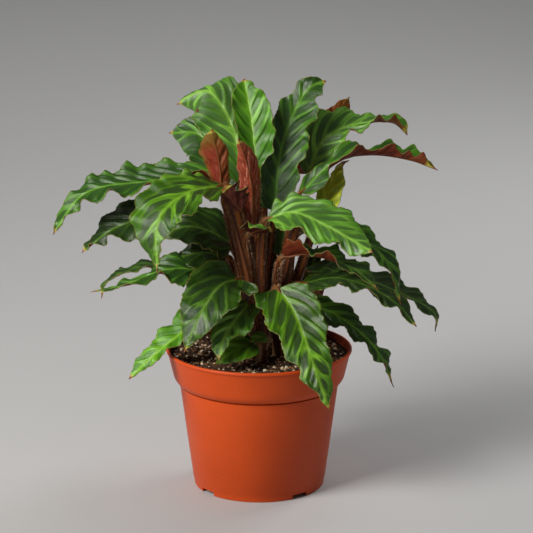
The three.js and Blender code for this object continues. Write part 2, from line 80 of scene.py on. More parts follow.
# ---------- modelling helpers ----------


def pick(*pieces: Piece) -> None:
    """Select only these pieces, or none, and make the first one active.

    Args:
        pieces: what is selected from now on.
    """
    bpy.ops.object.select_all(action="DESELECT")
    for piece in pieces:
        piece.select_set(True)
    if pieces:
        bpy.context.view_layer.objects.active = pieces[0]


def take(name: str) -> Piece:
    """Name the piece that an operator has just made, and return it.

    Args:
        name: what the piece and its mesh are to be called.

    Returns:
        The piece.
    """
    piece = bpy.context.object
    piece.name = name
    piece.data.name = name
    return piece


def apply_modifier(piece: Piece, kind: str, **settings: object) -> None:
    """Add a modifier of this kind, set it up and apply it.

    Args:
        piece: what it changes.
        kind: its type, in Blender's capitals.
        settings: its properties, by name.
    """
    pick(piece)
    bpy.ops.object.modifier_add(type=kind)
    modifier = piece.modifiers[-1]
    for key, value in settings.items():
        setattr(modifier, key, value)
    bpy.ops.object.modifier_apply(modifier=modifier.name)


def lay_grid(name: str, columns: int, rows: int) -> tuple[Piece, Array, Array]:
    """Add a flat grid that is to be bent into a sheet or wrapped into a tube.

    Args:
        name: the new piece's name.
        columns: faces across.
        rows: faces along.

    Returns:
        The piece, and each vertex's place across, -1 to 1, and along, 0 to 1.
    """
    pick()
    bpy.ops.mesh.primitive_grid_add(x_subdivisions=columns, y_subdivisions=rows, size=2)
    piece = take(name)
    flat = np.empty(3 * len(piece.data.vertices))
    piece.data.vertices.foreach_get("co", flat)
    flat = flat.reshape(-1, 3)
    return piece, flat[:, 0], (flat[:, 1] + 1) / 2


def turned(name: str, sides: int, rings: list[Pair]) -> Piece:
    """Raise a closed round body by extruding a circle from ring to ring.

    Args:
        name: the new piece's name.
        sides: corners of the circle.
        rings: each ring's radius and height, in millimetres.

    Returns:
        The body, with its faces outwards.
    """
    pick()
    radius, height = rings[0]
    bpy.ops.mesh.primitive_circle_add(
        vertices=sides, radius=radius * MM, fill_type="NGON", location=(0, 0, height * MM)
    )
    piece = take(name)
    bpy.ops.object.transform_apply(location=True, rotation=False, scale=False)
    bpy.ops.object.mode_set(mode="EDIT")
    bpy.ops.mesh.select_all(action="SELECT")
    bpy.ops.mesh.region_to_loop()
    for next_radius, next_height in rings[1:]:
        rise = (0, 0, (next_height - height) * MM)
        bpy.ops.mesh.extrude_edges_move(TRANSFORM_OT_translate={"value": rise})
        size = next_radius / radius
        bpy.ops.transform.resize(value=(size, size, 1), center_override=(0, 0, next_height * MM))
        radius, height = next_radius, next_height
    bpy.ops.mesh.edge_face_add()
    bpy.ops.mesh.select_all(action="SELECT")
    bpy.ops.mesh.normals_make_consistent(inside=False)
    bpy.ops.object.mode_set(mode="OBJECT")
    return piece


def place(piece: Piece, points: Array) -> None:
    """Move a piece's vertices to these points, in millimetres."""
    piece.data.vertices.foreach_set("co", (points * MM).astype(np.float32).ravel())
    piece.data.update()


def tell(piece: Piece, **values: Array) -> None:
    """Store one number for each vertex under each name, for the materials to read.

    Args:
        piece: what gets them.
        values: the numbers, by the name that a material asks for.
    """
    for name, numbers in values.items():
        attribute = piece.data.attributes.new(name, "FLOAT", "POINT")
        attribute.data.foreach_set("value", numbers.astype(np.float32))


def mesh_piece(name: str, points: Array, faces: Array) -> Piece:
    """Make a piece from points in millimetres and triangles, for what repeats by the thousand.

    Args:
        name: the new piece's name.
        points: its points, a row each.
        faces: its triangles, as rows of three points' numbers.

    Returns:
        The piece.
    """
    mesh = bpy.data.meshes.new(name)
    mesh.from_pydata((points * MM).tolist(), [], faces.tolist())
    piece = bpy.data.objects.new(name, mesh)
    bpy.context.scene.collection.objects.link(piece)
    return piece


def smooth(piece: Piece) -> None:
    """Shade all faces of a piece smooth."""
    pick(piece)
    bpy.ops.object.shade_smooth()


def joined(pieces: list[Piece], name: str) -> Piece:
    """Join pieces into one, which gets this name.

    Args:
        pieces: what is joined, into the first of them.
        name: the name for all of it.

    Returns:
        The one piece.
    """
    pick(*pieces)
    bpy.ops.object.join()
    return take(name)


def unit(rows: Array) -> Array:
    """Scale each row to length 1."""
    return rows / np.linalg.norm(rows, axis=-1, keepdims=True)


def square_to(rows: Array, along: Array) -> Array:
    """Turn each row square to the unit direction beside it, at length 1."""
    return unit(rows - along * np.sum(rows * along, axis=1, keepdims=True))


def read_rows(at: Array, marks: Array, rows: Array) -> Array:
    """Read rows of three numbers between their marks."""
    return np.stack([np.interp(at, marks, rows[:, k]) for k in range(3)], axis=1)


def blend_step(low: float, high: float, values: Array) -> Array:
    """Rise smoothly from 0 at low to 1 at high."""
    share = np.clip((values - low) / (high - low), 0, 1)
    return share * share * (3 - 2 * share)


# ---------- material helpers ----------


class Signal:
    """What a node puts out. The usual signs of arithmetic add the nodes that calculate with it."""

    def __init__(self, paint: "Paint", socket: Socket) -> None:
        """Hold the node's output."""
        self.paint = paint
        self.socket = socket

    def __add__(self, other: object) -> "Signal":
        """Add another signal or a number."""
        return self.paint.math("ADD", self, other)

    def __sub__(self, other: object) -> "Signal":
        """Take another signal or a number away."""
        return self.paint.math("SUBTRACT", self, other)

    def __mul__(self, other: object) -> "Signal":
        """Multiply by another signal or a number."""
        return self.paint.math("MULTIPLY", self, other)

    def __truediv__(self, other: object) -> "Signal":
        """Divide by another signal or a number."""
        return self.paint.math("DIVIDE", self, other)

    def __abs__(self) -> "Signal":
        """Drop the sign."""
        return self.paint.math("ABSOLUTE", self)

    def waves(self, length: float) -> "Signal":
        """A sine wave from -1 to 1 whose crests are this far apart."""
        return self.paint.math("SINE", self * (TURN / length))


class Paint:
    """One material's node tree: a first colour, and the coats that go over it."""

    def __init__(self, name: str, colour: object) -> None:
        """Start a material in one colour.

        Args:
            name: the material's name.
            colour: what every coat goes over.
        """
        self.material = bpy.data.materials.new(name)
        self.material.use_nodes = True
        self.tree = self.material.node_tree
        self.shader = self.tree.nodes["Principled BSDF"]
        self.colour = colour

    def node(self, kind: str, **settings: object) -> bpy.types.Node:
        """Add a node of this kind with these settings.

        Args:
            kind: the node's type.
            settings: its properties, by name.

        Returns:
            The node.
        """
        node = self.tree.nodes.new(kind)
        for key, value in settings.items():
            setattr(node, key, value)
        return node

    def feed(self, socket: Socket, value: object) -> None:
        """Link a signal to a socket, or set the socket's own value.

        Args:
            socket: what is fed.
            value: a signal, a number or a colour.
        """
        if isinstance(value, Signal):
            self.tree.links.new(value.socket, socket)
        elif isinstance(value, tuple) and socket.type == "RGBA":
            socket.default_value = (*value, 1.0)
        else:
            socket.default_value = value

    def math(self, operation: str, *values: object) -> Signal:
        """Calculate with one or two values.

        Args:
            operation: the node's operation, in Blender's capitals.
            values: signals or numbers.

        Returns:
            The result.
        """
        node = self.node("ShaderNodeMath", operation=operation)
        for socket, value in zip(node.inputs, values):
            self.feed(socket, value)
        return Signal(self, node.outputs[0])

    def step(self, value: Signal, low: float, high: float) -> Signal:
        """Rise smoothly from 0 at low to 1 at high, or fall where low is the greater.

        Args:
            value: what is read.
            low: where the result is 0.
            high: where it is 1.

        Returns:
            The result, from 0 to 1.
        """
        node = self.node("ShaderNodeMapRange", interpolation_type="SMOOTHSTEP")
        falls = low > high
        ends = (min(low, high), max(low, high), float(falls), float(not falls))
        for key, end in zip(("From Min", "From Max", "To Min", "To Max"), ends):
            node.inputs[key].default_value = end
        self.feed(node.inputs["Value"], value)
        return Signal(self, node.outputs[0])

    def coat(self, *coats: tuple[Signal, Colour]) -> None:
        """Lay coats over the colour so far, each with how much of it covers.

        Args:
            coats: pairs of a cover, from 0 to 1, and a colour.
        """
        for share, colour in coats:
            node = self.node("ShaderNodeMix", data_type="RGBA")
            self.feed(node.inputs["Factor"], share)
            self.feed(node.inputs[6], self.colour)
            self.feed(node.inputs[7], colour)
            self.colour = Signal(self, node.outputs[2])

    def told(self, *names: str) -> list[Signal]:
        """Read numbers that the piece's vertices hold."""
        nodes = [self.node("ShaderNodeAttribute", attribute_name=name) for name in names]
        return [Signal(self, node.outputs["Fac"]) for node in nodes]

    def place(self) -> Signal:
        """Read the point's place on the piece, in metres."""
        return Signal(self, self.node("ShaderNodeTexCoord").outputs["Object"])

    def chance(self, value: Signal) -> Signal:
        """Draw a number from 0 to 1 for each value.

        Args:
            value: what the draw starts from.

        Returns:
            The same number for the same value.
        """
        node = self.node("ShaderNodeTexWhiteNoise", noise_dimensions="1D")
        self.feed(node.inputs["W"], value)
        return Signal(self, node.outputs["Value"])

    def cloud(self, spot: Signal, scale: float, detail: float) -> Signal:
        """Cloudy noise from 0 to 1 at a spot, with scale features in each unit.

        Args:
            spot: where it is read.
            scale: how many features there are in a unit.
            detail: how many finer layers lie on top.

        Returns:
            The noise, from 0 to 1.
        """
        node = self.node("ShaderNodeTexNoise")
        self.feed(node.inputs["Vector"], spot)
        node.inputs["Scale"].default_value = scale
        node.inputs["Detail"].default_value = detail
        return Signal(self, node.outputs["Fac"])

    def noise(self, scale: float, detail: float = 2.0, stretch: Point = (1, 1, 1)) -> Signal:
        """Cloudy noise on the piece, denser along each axis by its stretch.

        Args:
            scale: how many features there are in a metre.
            detail: how many finer layers lie on top.
            stretch: how much denser it is along each axis.

        Returns:
            The noise, from 0 to 1.
        """
        mapping = self.node("ShaderNodeMapping")
        self.feed(mapping.inputs["Vector"], self.place())
        mapping.inputs["Scale"].default_value = stretch
        return self.cloud(Signal(self, mapping.outputs[0]), scale, detail)

    def sheet_noise(self, vein: Signal, reach: Signal, dense: float, sparse: float, detail: float) -> Signal:
        """Cloudy noise with dense features for each unit of vein and sparse ones for each of reach.

        Args:
            vein: where the side vein through a point leaves the rib, in millimetres.
            reach: how far the point is from the rib, in millimetres.
            dense: how many features there are in a millimetre of vein.
            sparse: how many there are in a millimetre of reach.
            detail: how many finer layers lie on top.

        Returns:
            The noise, from 0 to 1.
        """
        spot = self.node("ShaderNodeCombineXYZ")
        self.feed(spot.inputs[0], vein * dense)
        self.feed(spot.inputs[1], reach * sparse)
        return self.cloud(Signal(self, spot.outputs[0]), 1.0, detail)

    def finish(self, height: Signal | None = None, depth: float = 0.0, **values: object) -> Material:
        """Feed the shader and end the material.

        Args:
            height: how high the surface is raised, from 0 to 1, if at all.
            depth: how far that is, in metres.
            values: the shader's other sockets, named with _ for each space.

        Returns:
            The finished material.
        """
        for key, value in {"Base_Color": self.colour, **values}.items():
            self.feed(self.shader.inputs[key.replace("_", " ")], value)
        if height:
            bump = self.node("ShaderNodeBump")
            bump.inputs["Strength"].default_value = 1.0
            bump.inputs["Distance"].default_value = depth
            self.feed(bump.inputs["Height"], height)
            self.feed(self.shader.inputs["Normal"], Signal(self, bump.outputs[0]))
        return self.material


# ---------- finishes ----------


@dataclass(frozen=True)
class LeafFinish:
    """The upper face of a leaf: dark blotches between bright veins, a pale rib and a dry margin.

    contrast is how strong the blotches and dark rays are, light how strong the paler rings round
    them. band is the distance between two side veins in millimetres. streaky draws the blotches
    out towards the margin, fray roughens their outline, spread is their width in bands, and glow
    brightens all the rings.
    """

    name: str
    dark: Colour
    middle: Colour
    bright: Colour
    rib: Colour
    blotch: Colour
    contrast: float = 0.85
    light: float = 0.8
    band: float = 14.5
    streaky: float = 0.0
    fray: float = 0.8
    spread: float = 0.34
    glow: float = 0.0
    roughness: float = 0.25

    def material(self) -> Material:
        """Build the material, which follows the numbers that each blade tells.

        Returns:
            The finished material.
        """
        paint = Paint(self.name, self.middle)
        signed, reach, vein, edge, tip = paint.told("across", "reach", "vein", "edge", "tip")
        across = abs(signed)

        # Streaks and clouds run along the side veins. The broadest clouds are painted light and shade: they
        # darken patches of the blade and make the rings brighter or fainter.
        cloud = paint.sheet_noise(vein, reach, 0.11, 0.06, 2)
        streak = paint.sheet_noise(vein, reach, 0.75, 0.08, 3)
        painted_light_and_shade = paint.sheet_noise(vein, reach, 0.04, 0.05, 1)
        band = vein / self.band + (cloud * 0.9 - 0.45)
        beside = paint.math("FRACT", band) - 0.5
        luck = paint.chance(paint.math("FLOOR", band))

        # A blotch is a drop beside the rib, between two side veins, in a paler ring.
        long = paint.step(luck, 0.4, 0.7)
        centre = long * 0.1 + (0.32 + 0.7 * self.streaky)
        half = long * 0.14 + (0.23 + self.streaky)
        out = (across - centre) / half
        wide = beside / self.spread
        drop = out * out + wide * wide + (streak * (2 * self.fray) - self.fray)
        blotch = paint.step(drop, 1.75, 0.5) * (painted_light_and_shade * 0.6 + 0.65)
        ring = paint.step(drop, 0.7, 1.8) * paint.step(drop, 4.6, 1.5)
        ring = ring * (luck * 0.6 + 0.45) * (painted_light_and_shade * 1.6 + self.glow)

        # Outside the blotches faint dark rays run on to the margin.
        ray = paint.step(abs(beside), 0.42, 0.08) * paint.step(across, 0.45, 0.8)
        ray = ray * (streak * 0.8 + 0.1)
        fine = vein.waves(1.25) * 0.5 + 0.5
        dry = cloud * 0.6 - 0.12
        paint.coat(
            (ring * self.light, self.bright),
            (ray * self.contrast, self.dark),
            (paint.step(streak, 0.5, 0.8) * 0.14, self.bright),
            # Painted shade: broad dark patches across the blade.
            (paint.step(painted_light_and_shade, 0.58, 0.36) * 0.7, self.dark),
            (blotch * self.contrast, self.blotch),
        )

        # Fine parallel veins, the feathered rib, the dry margin and the brown tip.
        paint.coat(
            (fine * 0.12, self.bright),
            (paint.step(reach, 2.6, 0.3) * 0.5, self.bright),
            (paint.step(reach, 0.75, 0.3) * 0.8, self.rib),
            (paint.step(edge - dry, 0.35, 0.0), MARGIN_GOLD),
            (paint.step(tip, 7.0, 4.2), TIP_YELLOW),
            (paint.step(tip, 4.2, 2.6), TIP_BROWN),
        )
        gloss = paint.noise(260) * 0.16 + (self.roughness - 0.08)
        grain = fine * 0.6 + paint.noise(1500) * 0.35
        return paint.finish(grain, 0.00019, Roughness=gloss, Specular_IOR_Level=0.45)


@dataclass(frozen=True)
class UndersideFinish:
    """The velvety underside of a leaf, with paler side veins and a warmer margin.

    warmth is how golden the margin and the tip's end are, and warm_side the half right of the rib.
    fuzz is the velvet's sheen, and silk how much painted sheen is laid on as bright pink streaks.
    """

    name: str
    deep: Colour
    light: Colour
    warm: Colour
    warmth: float
    warm_side: float = 0.0
    fuzz: float = 0.0
    painted_sheen_share: float = 0.0

    def material(self) -> Material:
        """Build the material.

        Returns:
            The finished material.
        """
        paint = Paint(self.name, self.deep)
        signed, reach, vein, tip, along = paint.told("across", "reach", "vein", "tip", "along")
        line = paint.step(vein.waves(2.6), 0.2, 1.0)
        cloud = paint.sheet_noise(vein, reach, 0.35, 0.12, 3)
        painted_sheen_share = paint.step(paint.noise(700, 3, (1, 1, 0.09)), 0.5, 0.72)
        margin = paint.step(abs(signed), 0.6, 1.0) * self.warmth
        crown = paint.step(along, 0.62, 0.95) * (self.warmth * 1.4)
        side = paint.step(signed, -0.1, 0.3) * self.warm_side
        gold = paint.math("MAXIMUM", paint.math("MAXIMUM", margin, crown), side)
        paint.coat(
            (line * 0.14, self.light),
            (paint.step(cloud, 0.4, 0.75) * 0.6, self.light),
            # Painted sheen: bright pink streaks.
            (painted_sheen_share * self.painted_sheen_share, PAINTED_SHEEN_PINK),
            (paint.step(reach, 0.9, 0.3) * 0.7, self.warm),
            (gold * (cloud * 0.8 + 0.6), self.warm),
            (paint.step(tip, 8.0, 5.5), TIP_YELLOW),
            (paint.step(tip, 4.0, 2.0), TIP_BROWN),
        )
        return paint.finish(
            line * 0.6 + paint.noise(2200), 0.00018, Roughness=0.58, Sheen_Weight=self.fuzz,
            Sheen_Roughness=0.4, Sheen_Tint=(1.0, 0.42, 0.28), Specular_IOR_Level=0.25,
        )


@dataclass(frozen=True)
class MarginFinish:
    """The thin edge of a leaf, a little dry all round."""

    name: str
    colour: Colour
    worn: Colour

    def material(self) -> Material:
        """Build the material.

        Returns:
            The finished material.
        """
        paint = Paint(self.name, self.colour)
        (tip,) = paint.told("tip")
        worn = paint.step(paint.noise(240, 3), 0.45, 0.7)
        paint.coat((worn, self.worn), (paint.step(tip, 5.0, 3.0), TIP_BROWN))
        return paint.finish(Roughness=0.5)


@dataclass(frozen=True)
class StalkFinish:
    """A stalk: ribbed lengthwise, darker in the middle and paler where it leaves the soil. Its ridges are
    painted in the light colour as painted highlights, and the grooves between them keep the darker body
    colour as painted shade.
    """

    name: str
    body: Colour
    light: Colour
    foot: Colour
    neck: Colour
    stripes: int = 4

    def material(self) -> Material:
        """Build the material, which reads how far up the stalk and round it a point is.

        Returns:
            The finished material.
        """
        paint = Paint(self.name, self.body)
        up, around = paint.told("up", "around")
        ridge_and_painted_highlight = around.waves(1 / self.stripes) * 0.5 + 0.5
        cloud = paint.noise(150, 3, (1, 1, 0.2))
        neck = paint.step(up, 0.84, 0.93) * paint.step(up, 1.04, 0.98)
        # Painted highlights along the ridges, painted shade in the grooves between them.
        paint.coat(
            (paint.step(ridge_and_painted_highlight, 0.0, 0.9) * paint.step(cloud, 0.1, 0.7), self.light),
            (paint.step(up, 0.2, 0.06), self.foot),
            (neck * 0.8, self.neck),
            (paint.step(up, 1.0, 1.1), RIB_BELOW),
        )
        return paint.finish(
            ridge_and_painted_highlight + paint.noise(1800), 0.00025, Roughness=0.5, Sheen_Weight=0.05,
            Sheen_Roughness=0.35, Sheen_Tint=(1.0, 0.6, 0.4), Specular_IOR_Level=0.3,
        )


@dataclass(frozen=True)
class HairFinish:
    """The fine hairs of the stalks, darker at the root."""

    name: str
    root: Colour
    tip: Colour

    def material(self) -> Material:
        """Build the material.

        Returns:
            The finished material.
        """
        paint = Paint(self.name, self.root)
        (out,) = paint.told("out")
        paint.coat((out, self.tip))
        return paint.finish(Roughness=0.4)


@dataclass(frozen=True)
class PlasticFinish:
    """Satin moulded plastic, faintly cloudy, with soil dust up to a height in millimetres."""

    name: str
    body: Colour
    deep: Colour
    dirt: float
    dust_top: float
    dust_fade: float

    def material(self) -> Material:
        """Build the material.

        Returns:
            The finished material.
        """
        paint = Paint(self.name, self.body)
        parts = paint.node("ShaderNodeSeparateXYZ")
        paint.feed(parts.inputs[0], paint.place())
        height = Signal(paint, parts.outputs[2])
        low = paint.step(height, (self.dust_top + self.dust_fade) * MM, self.dust_top * MM)
        dirt = low * paint.step(paint.noise(650, 4), 0.44, 0.62) * self.dirt
        paint.coat(
            (paint.step(paint.noise(14, 3), 0.3, 0.75), self.deep),
            (paint.step(paint.noise(900), 0.6, 0.72) * 0.1, self.deep),
            (dirt, SOIL_DUST),
        )
        gloss = paint.noise(60, 4) * 0.1 + 0.4 + dirt * 0.4
        return paint.finish(paint.noise(2600), 0.00004, Roughness=gloss, Specular_IOR_Level=0.22)


@dataclass(frozen=True)
class GrainFinish:
    """Crumbs of one kind of soil, each grain in a shade of its own, with pits this deep in metres."""

    name: str
    dark: Colour
    light: Colour
    roughness: float
    pits: float

    def material(self) -> Material:
        """Build the material.

        Returns:
            The finished material.
        """
        paint = Paint(self.name, self.dark)
        (shade,) = paint.told("shade")
        mottle = paint.step(paint.noise(1400, 3), 0.4, 0.7) * 0.5
        paint.coat((shade, self.light), (mottle, self.dark))
        return paint.finish(paint.noise(2000, 4), self.pits, Roughness=self.roughness)


class Tone(Enum):
    """The upper faces that the leaves come in."""

    SPOTTED = LeafFinish(
        "leaf_spotted_green", (0.011, 0.04, 0.002), (0.036, 0.125, 0.003), (0.17, 0.38, 0.02),
        (0.19, 0.37, 0.025), (0.018, 0.04, 0.01), contrast=0.98, light=0.9, band=17.0, fray=0.45,
        spread=0.28, glow=0.15,
    )
    # Painted shade: a darker copy of the spotted face.
    DUSKY = LeafFinish(
        "leaf_spotted_dark", (0.008, 0.028, 0.002), (0.021, 0.068, 0.003), (0.1, 0.22, 0.022),
        (0.12, 0.25, 0.025), (0.014, 0.034, 0.01), contrast=0.95, light=0.85, band=17.0, fray=0.45,
        spread=0.28, glow=0.1,
    )
    MIDDLE = LeafFinish(
        "leaf_green", (0.009, 0.036, 0.003), (0.027, 0.105, 0.004), (0.115, 0.3, 0.024),
        (0.16, 0.34, 0.035), (0.02, 0.055, 0.012), streaky=0.16,
    )
    DARK = LeafFinish(
        "leaf_dark_green", (0.008, 0.023, 0.003), (0.019, 0.058, 0.004), (0.065, 0.15, 0.015),
        (0.11, 0.22, 0.025), (0.014, 0.032, 0.008), light=0.6, streaky=0.16,
    )
    FRESH = LeafFinish(
        "leaf_fresh_green", (0.02, 0.075, 0.006), (0.062, 0.21, 0.012), (0.25, 0.52, 0.07),
        (0.28, 0.52, 0.06), (0.042, 0.1, 0.024), streaky=0.05, fray=0.6, spread=0.3,
    )
    LIME = LeafFinish(
        "leaf_lime", (0.03, 0.13, 0.003), (0.08, 0.26, 0.005), (0.2, 0.48, 0.03), (0.26, 0.5, 0.04),
        (0.035, 0.13, 0.006), contrast=0.55, streaky=0.2,
    )
    # Painted light: the young yellow-green face is painted paler than the leaf is, standing in for light
    # that the half-rolled leaf does not get.
    YELLOW = LeafFinish(
        "leaf_yellow_green", (0.2, 0.3, 0.004), (0.5, 0.6, 0.01), (0.7, 0.78, 0.03),
        (0.3, 0.36, 0.02), (0.12, 0.2, 0.004), contrast=0.5, streaky=0.2,
    )
    PLAIN = LeafFinish(
        "leaf_plain_green", (0.028, 0.09, 0.001), (0.062, 0.18, 0.002), (0.1, 0.25, 0.006),
        (0.12, 0.23, 0.02), (0.02, 0.055, 0.006), contrast=0.35, roughness=0.42,
    )


class Underside(Enum):
    """The undersides that the leaves come in."""

    BURGUNDY = UndersideFinish(
        "underside_burgundy", (0.1, 0.011, 0.003), (0.24, 0.042, 0.01), (0.22, 0.075, 0.012), 0.25
    )
    GOLDEN = UndersideFinish(
        "underside_golden", (0.11, 0.012, 0.003), (0.25, 0.045, 0.01), (0.32, 0.13, 0.016), 0.5
    )
    # Painted shade: a darker copy of the burgundy underside, for leaves deep in the middle of the plant.
    DEEP = UndersideFinish(
        "underside_deep", (0.045, 0.005, 0.002), (0.09, 0.013, 0.004), (0.1, 0.03, 0.006), 0.2
    )
    YOUNG_RED = UndersideFinish(
        "underside_young_red", (0.18, 0.019, 0.007), (0.42, 0.085, 0.033), (0.26, 0.07, 0.02), 0.3,
        fuzz=0.35, painted_sheen_share=0.7,
    )
    YOUNG_GOLD = UndersideFinish(
        "underside_young_gold", (0.17, 0.016, 0.004), (0.3, 0.048, 0.011), (0.14, 0.08, 0.004), 0.8,
        warm_side=0.3, fuzz=0.05, painted_sheen_share=0.16,
    )


class StalkTone(Enum):
    """The finishes of the stalks and of the thin parts that clasp them."""

    RED = StalkFinish(
        "stalk_red_brown", (0.052, 0.01, 0.002), (0.29, 0.08, 0.012), (0.09, 0.027, 0.007),
        (0.18, 0.072, 0.012),
    )
    PALE = StalkFinish(
        "stalk_pale", (0.42, 0.25, 0.13), (0.66, 0.48, 0.3), (0.7, 0.55, 0.38), (0.3, 0.24, 0.06)
    )
    # Painted shade: the wings are painted darker than the stalks, standing in for the shade between the
    # stalks.
    WINGS = StalkFinish(
        "stalk_wings", (0.0385, 0.0077, 0.0017), (0.165, 0.0495, 0.011), (0.055, 0.0182, 0.006),
        (0.077, 0.0275, 0.0066),
    )
    SHEATH = StalkFinish(
        "sheath_papery", (0.1, 0.04, 0.015), (0.24, 0.12, 0.05), (0.3, 0.17, 0.08), (0.16, 0.1, 0.03)
    )


class Ground(Enum):
    """The finishes of the soil and of each kind of grain in it."""

    PEAT = GrainFinish("peat", (0.006, 0.003, 0.0015), (0.035, 0.016, 0.006), 0.9, 0.0006)
    CRUMB = GrainFinish("peat_crumbs", (0.01, 0.0045, 0.0015), (0.12, 0.048, 0.013), 0.9, 0.0003)
    BARK = GrainFinish("bark_chips", (0.12, 0.045, 0.012), (0.48, 0.24, 0.08), 0.8, 0.0003)
    PERLITE = GrainFinish("perlite", (0.45, 0.32, 0.18), (0.9, 0.77, 0.55), 0.85, 0.0003)


MARGIN = MarginFinish("leaf_margin", (0.15, 0.17, 0.03), (0.17, 0.07, 0.016))
HAIR = HairFinish("stalk_hair", (0.42, 0.17, 0.06), (1.0, 0.72, 0.45))
TERRACOTTA = PlasticFinish("pot_plastic", (0.56, 0.068, 0.007), (0.47, 0.052, 0.005), 0.06, 75.0, 5.0)
POT_INSIDE = PlasticFinish("pot_inside", (0.36, 0.05, 0.011), (0.28, 0.037, 0.009), 0.95, 111.5, 7.0)


def wear(piece: Piece, *finishes: object) -> None:
    """Give a piece these finishes, each of which is built when it is first worn.

    Args:
        piece: what wears them.
        finishes: one for each of its materials, in order.
    """
    for finish in finishes:
        known = bpy.data.materials.get(finish.name)
        piece.data.materials.append(known or finish.material())


# ---------- leaves ----------


@dataclass(frozen=True)
class Leaf:
    """What sets one leaf apart.

    The rib's points run from the stalk to the tip. looks gives the way the upper face looks, and
    fold how far both halves are lifted in degrees, each at the stalk and at the tip. wave is the
    height of the margin's waves, phase shifts them, and belly is where along the rib the blade is
    widest. left and right list a margin's crests and troughs instead of those waves, each as its
    percentage of the rib, how far it goes out past the plain outline and how far it goes up. They
    are the blade's sides seen from its stalk. drip is the length of its thin tip, and wing is how
    much thicker its stalk's winged sheath makes it.
    """

    name: str
    shoot: str
    width: float
    looks: tuple[Point, Point]
    fold: Pair
    wave: float
    phase: float
    belly: float
    rib: tuple[Point, ...]
    tone: Tone = Tone.MIDDLE
    stalk: StalkTone = StalkTone.RED
    underside: Underside = Underside.BURGUNDY
    wing: float = 0.0
    drip: float = 7.0
    left: tuple[Point, ...] = ()
    right: tuple[Point, ...] = ()


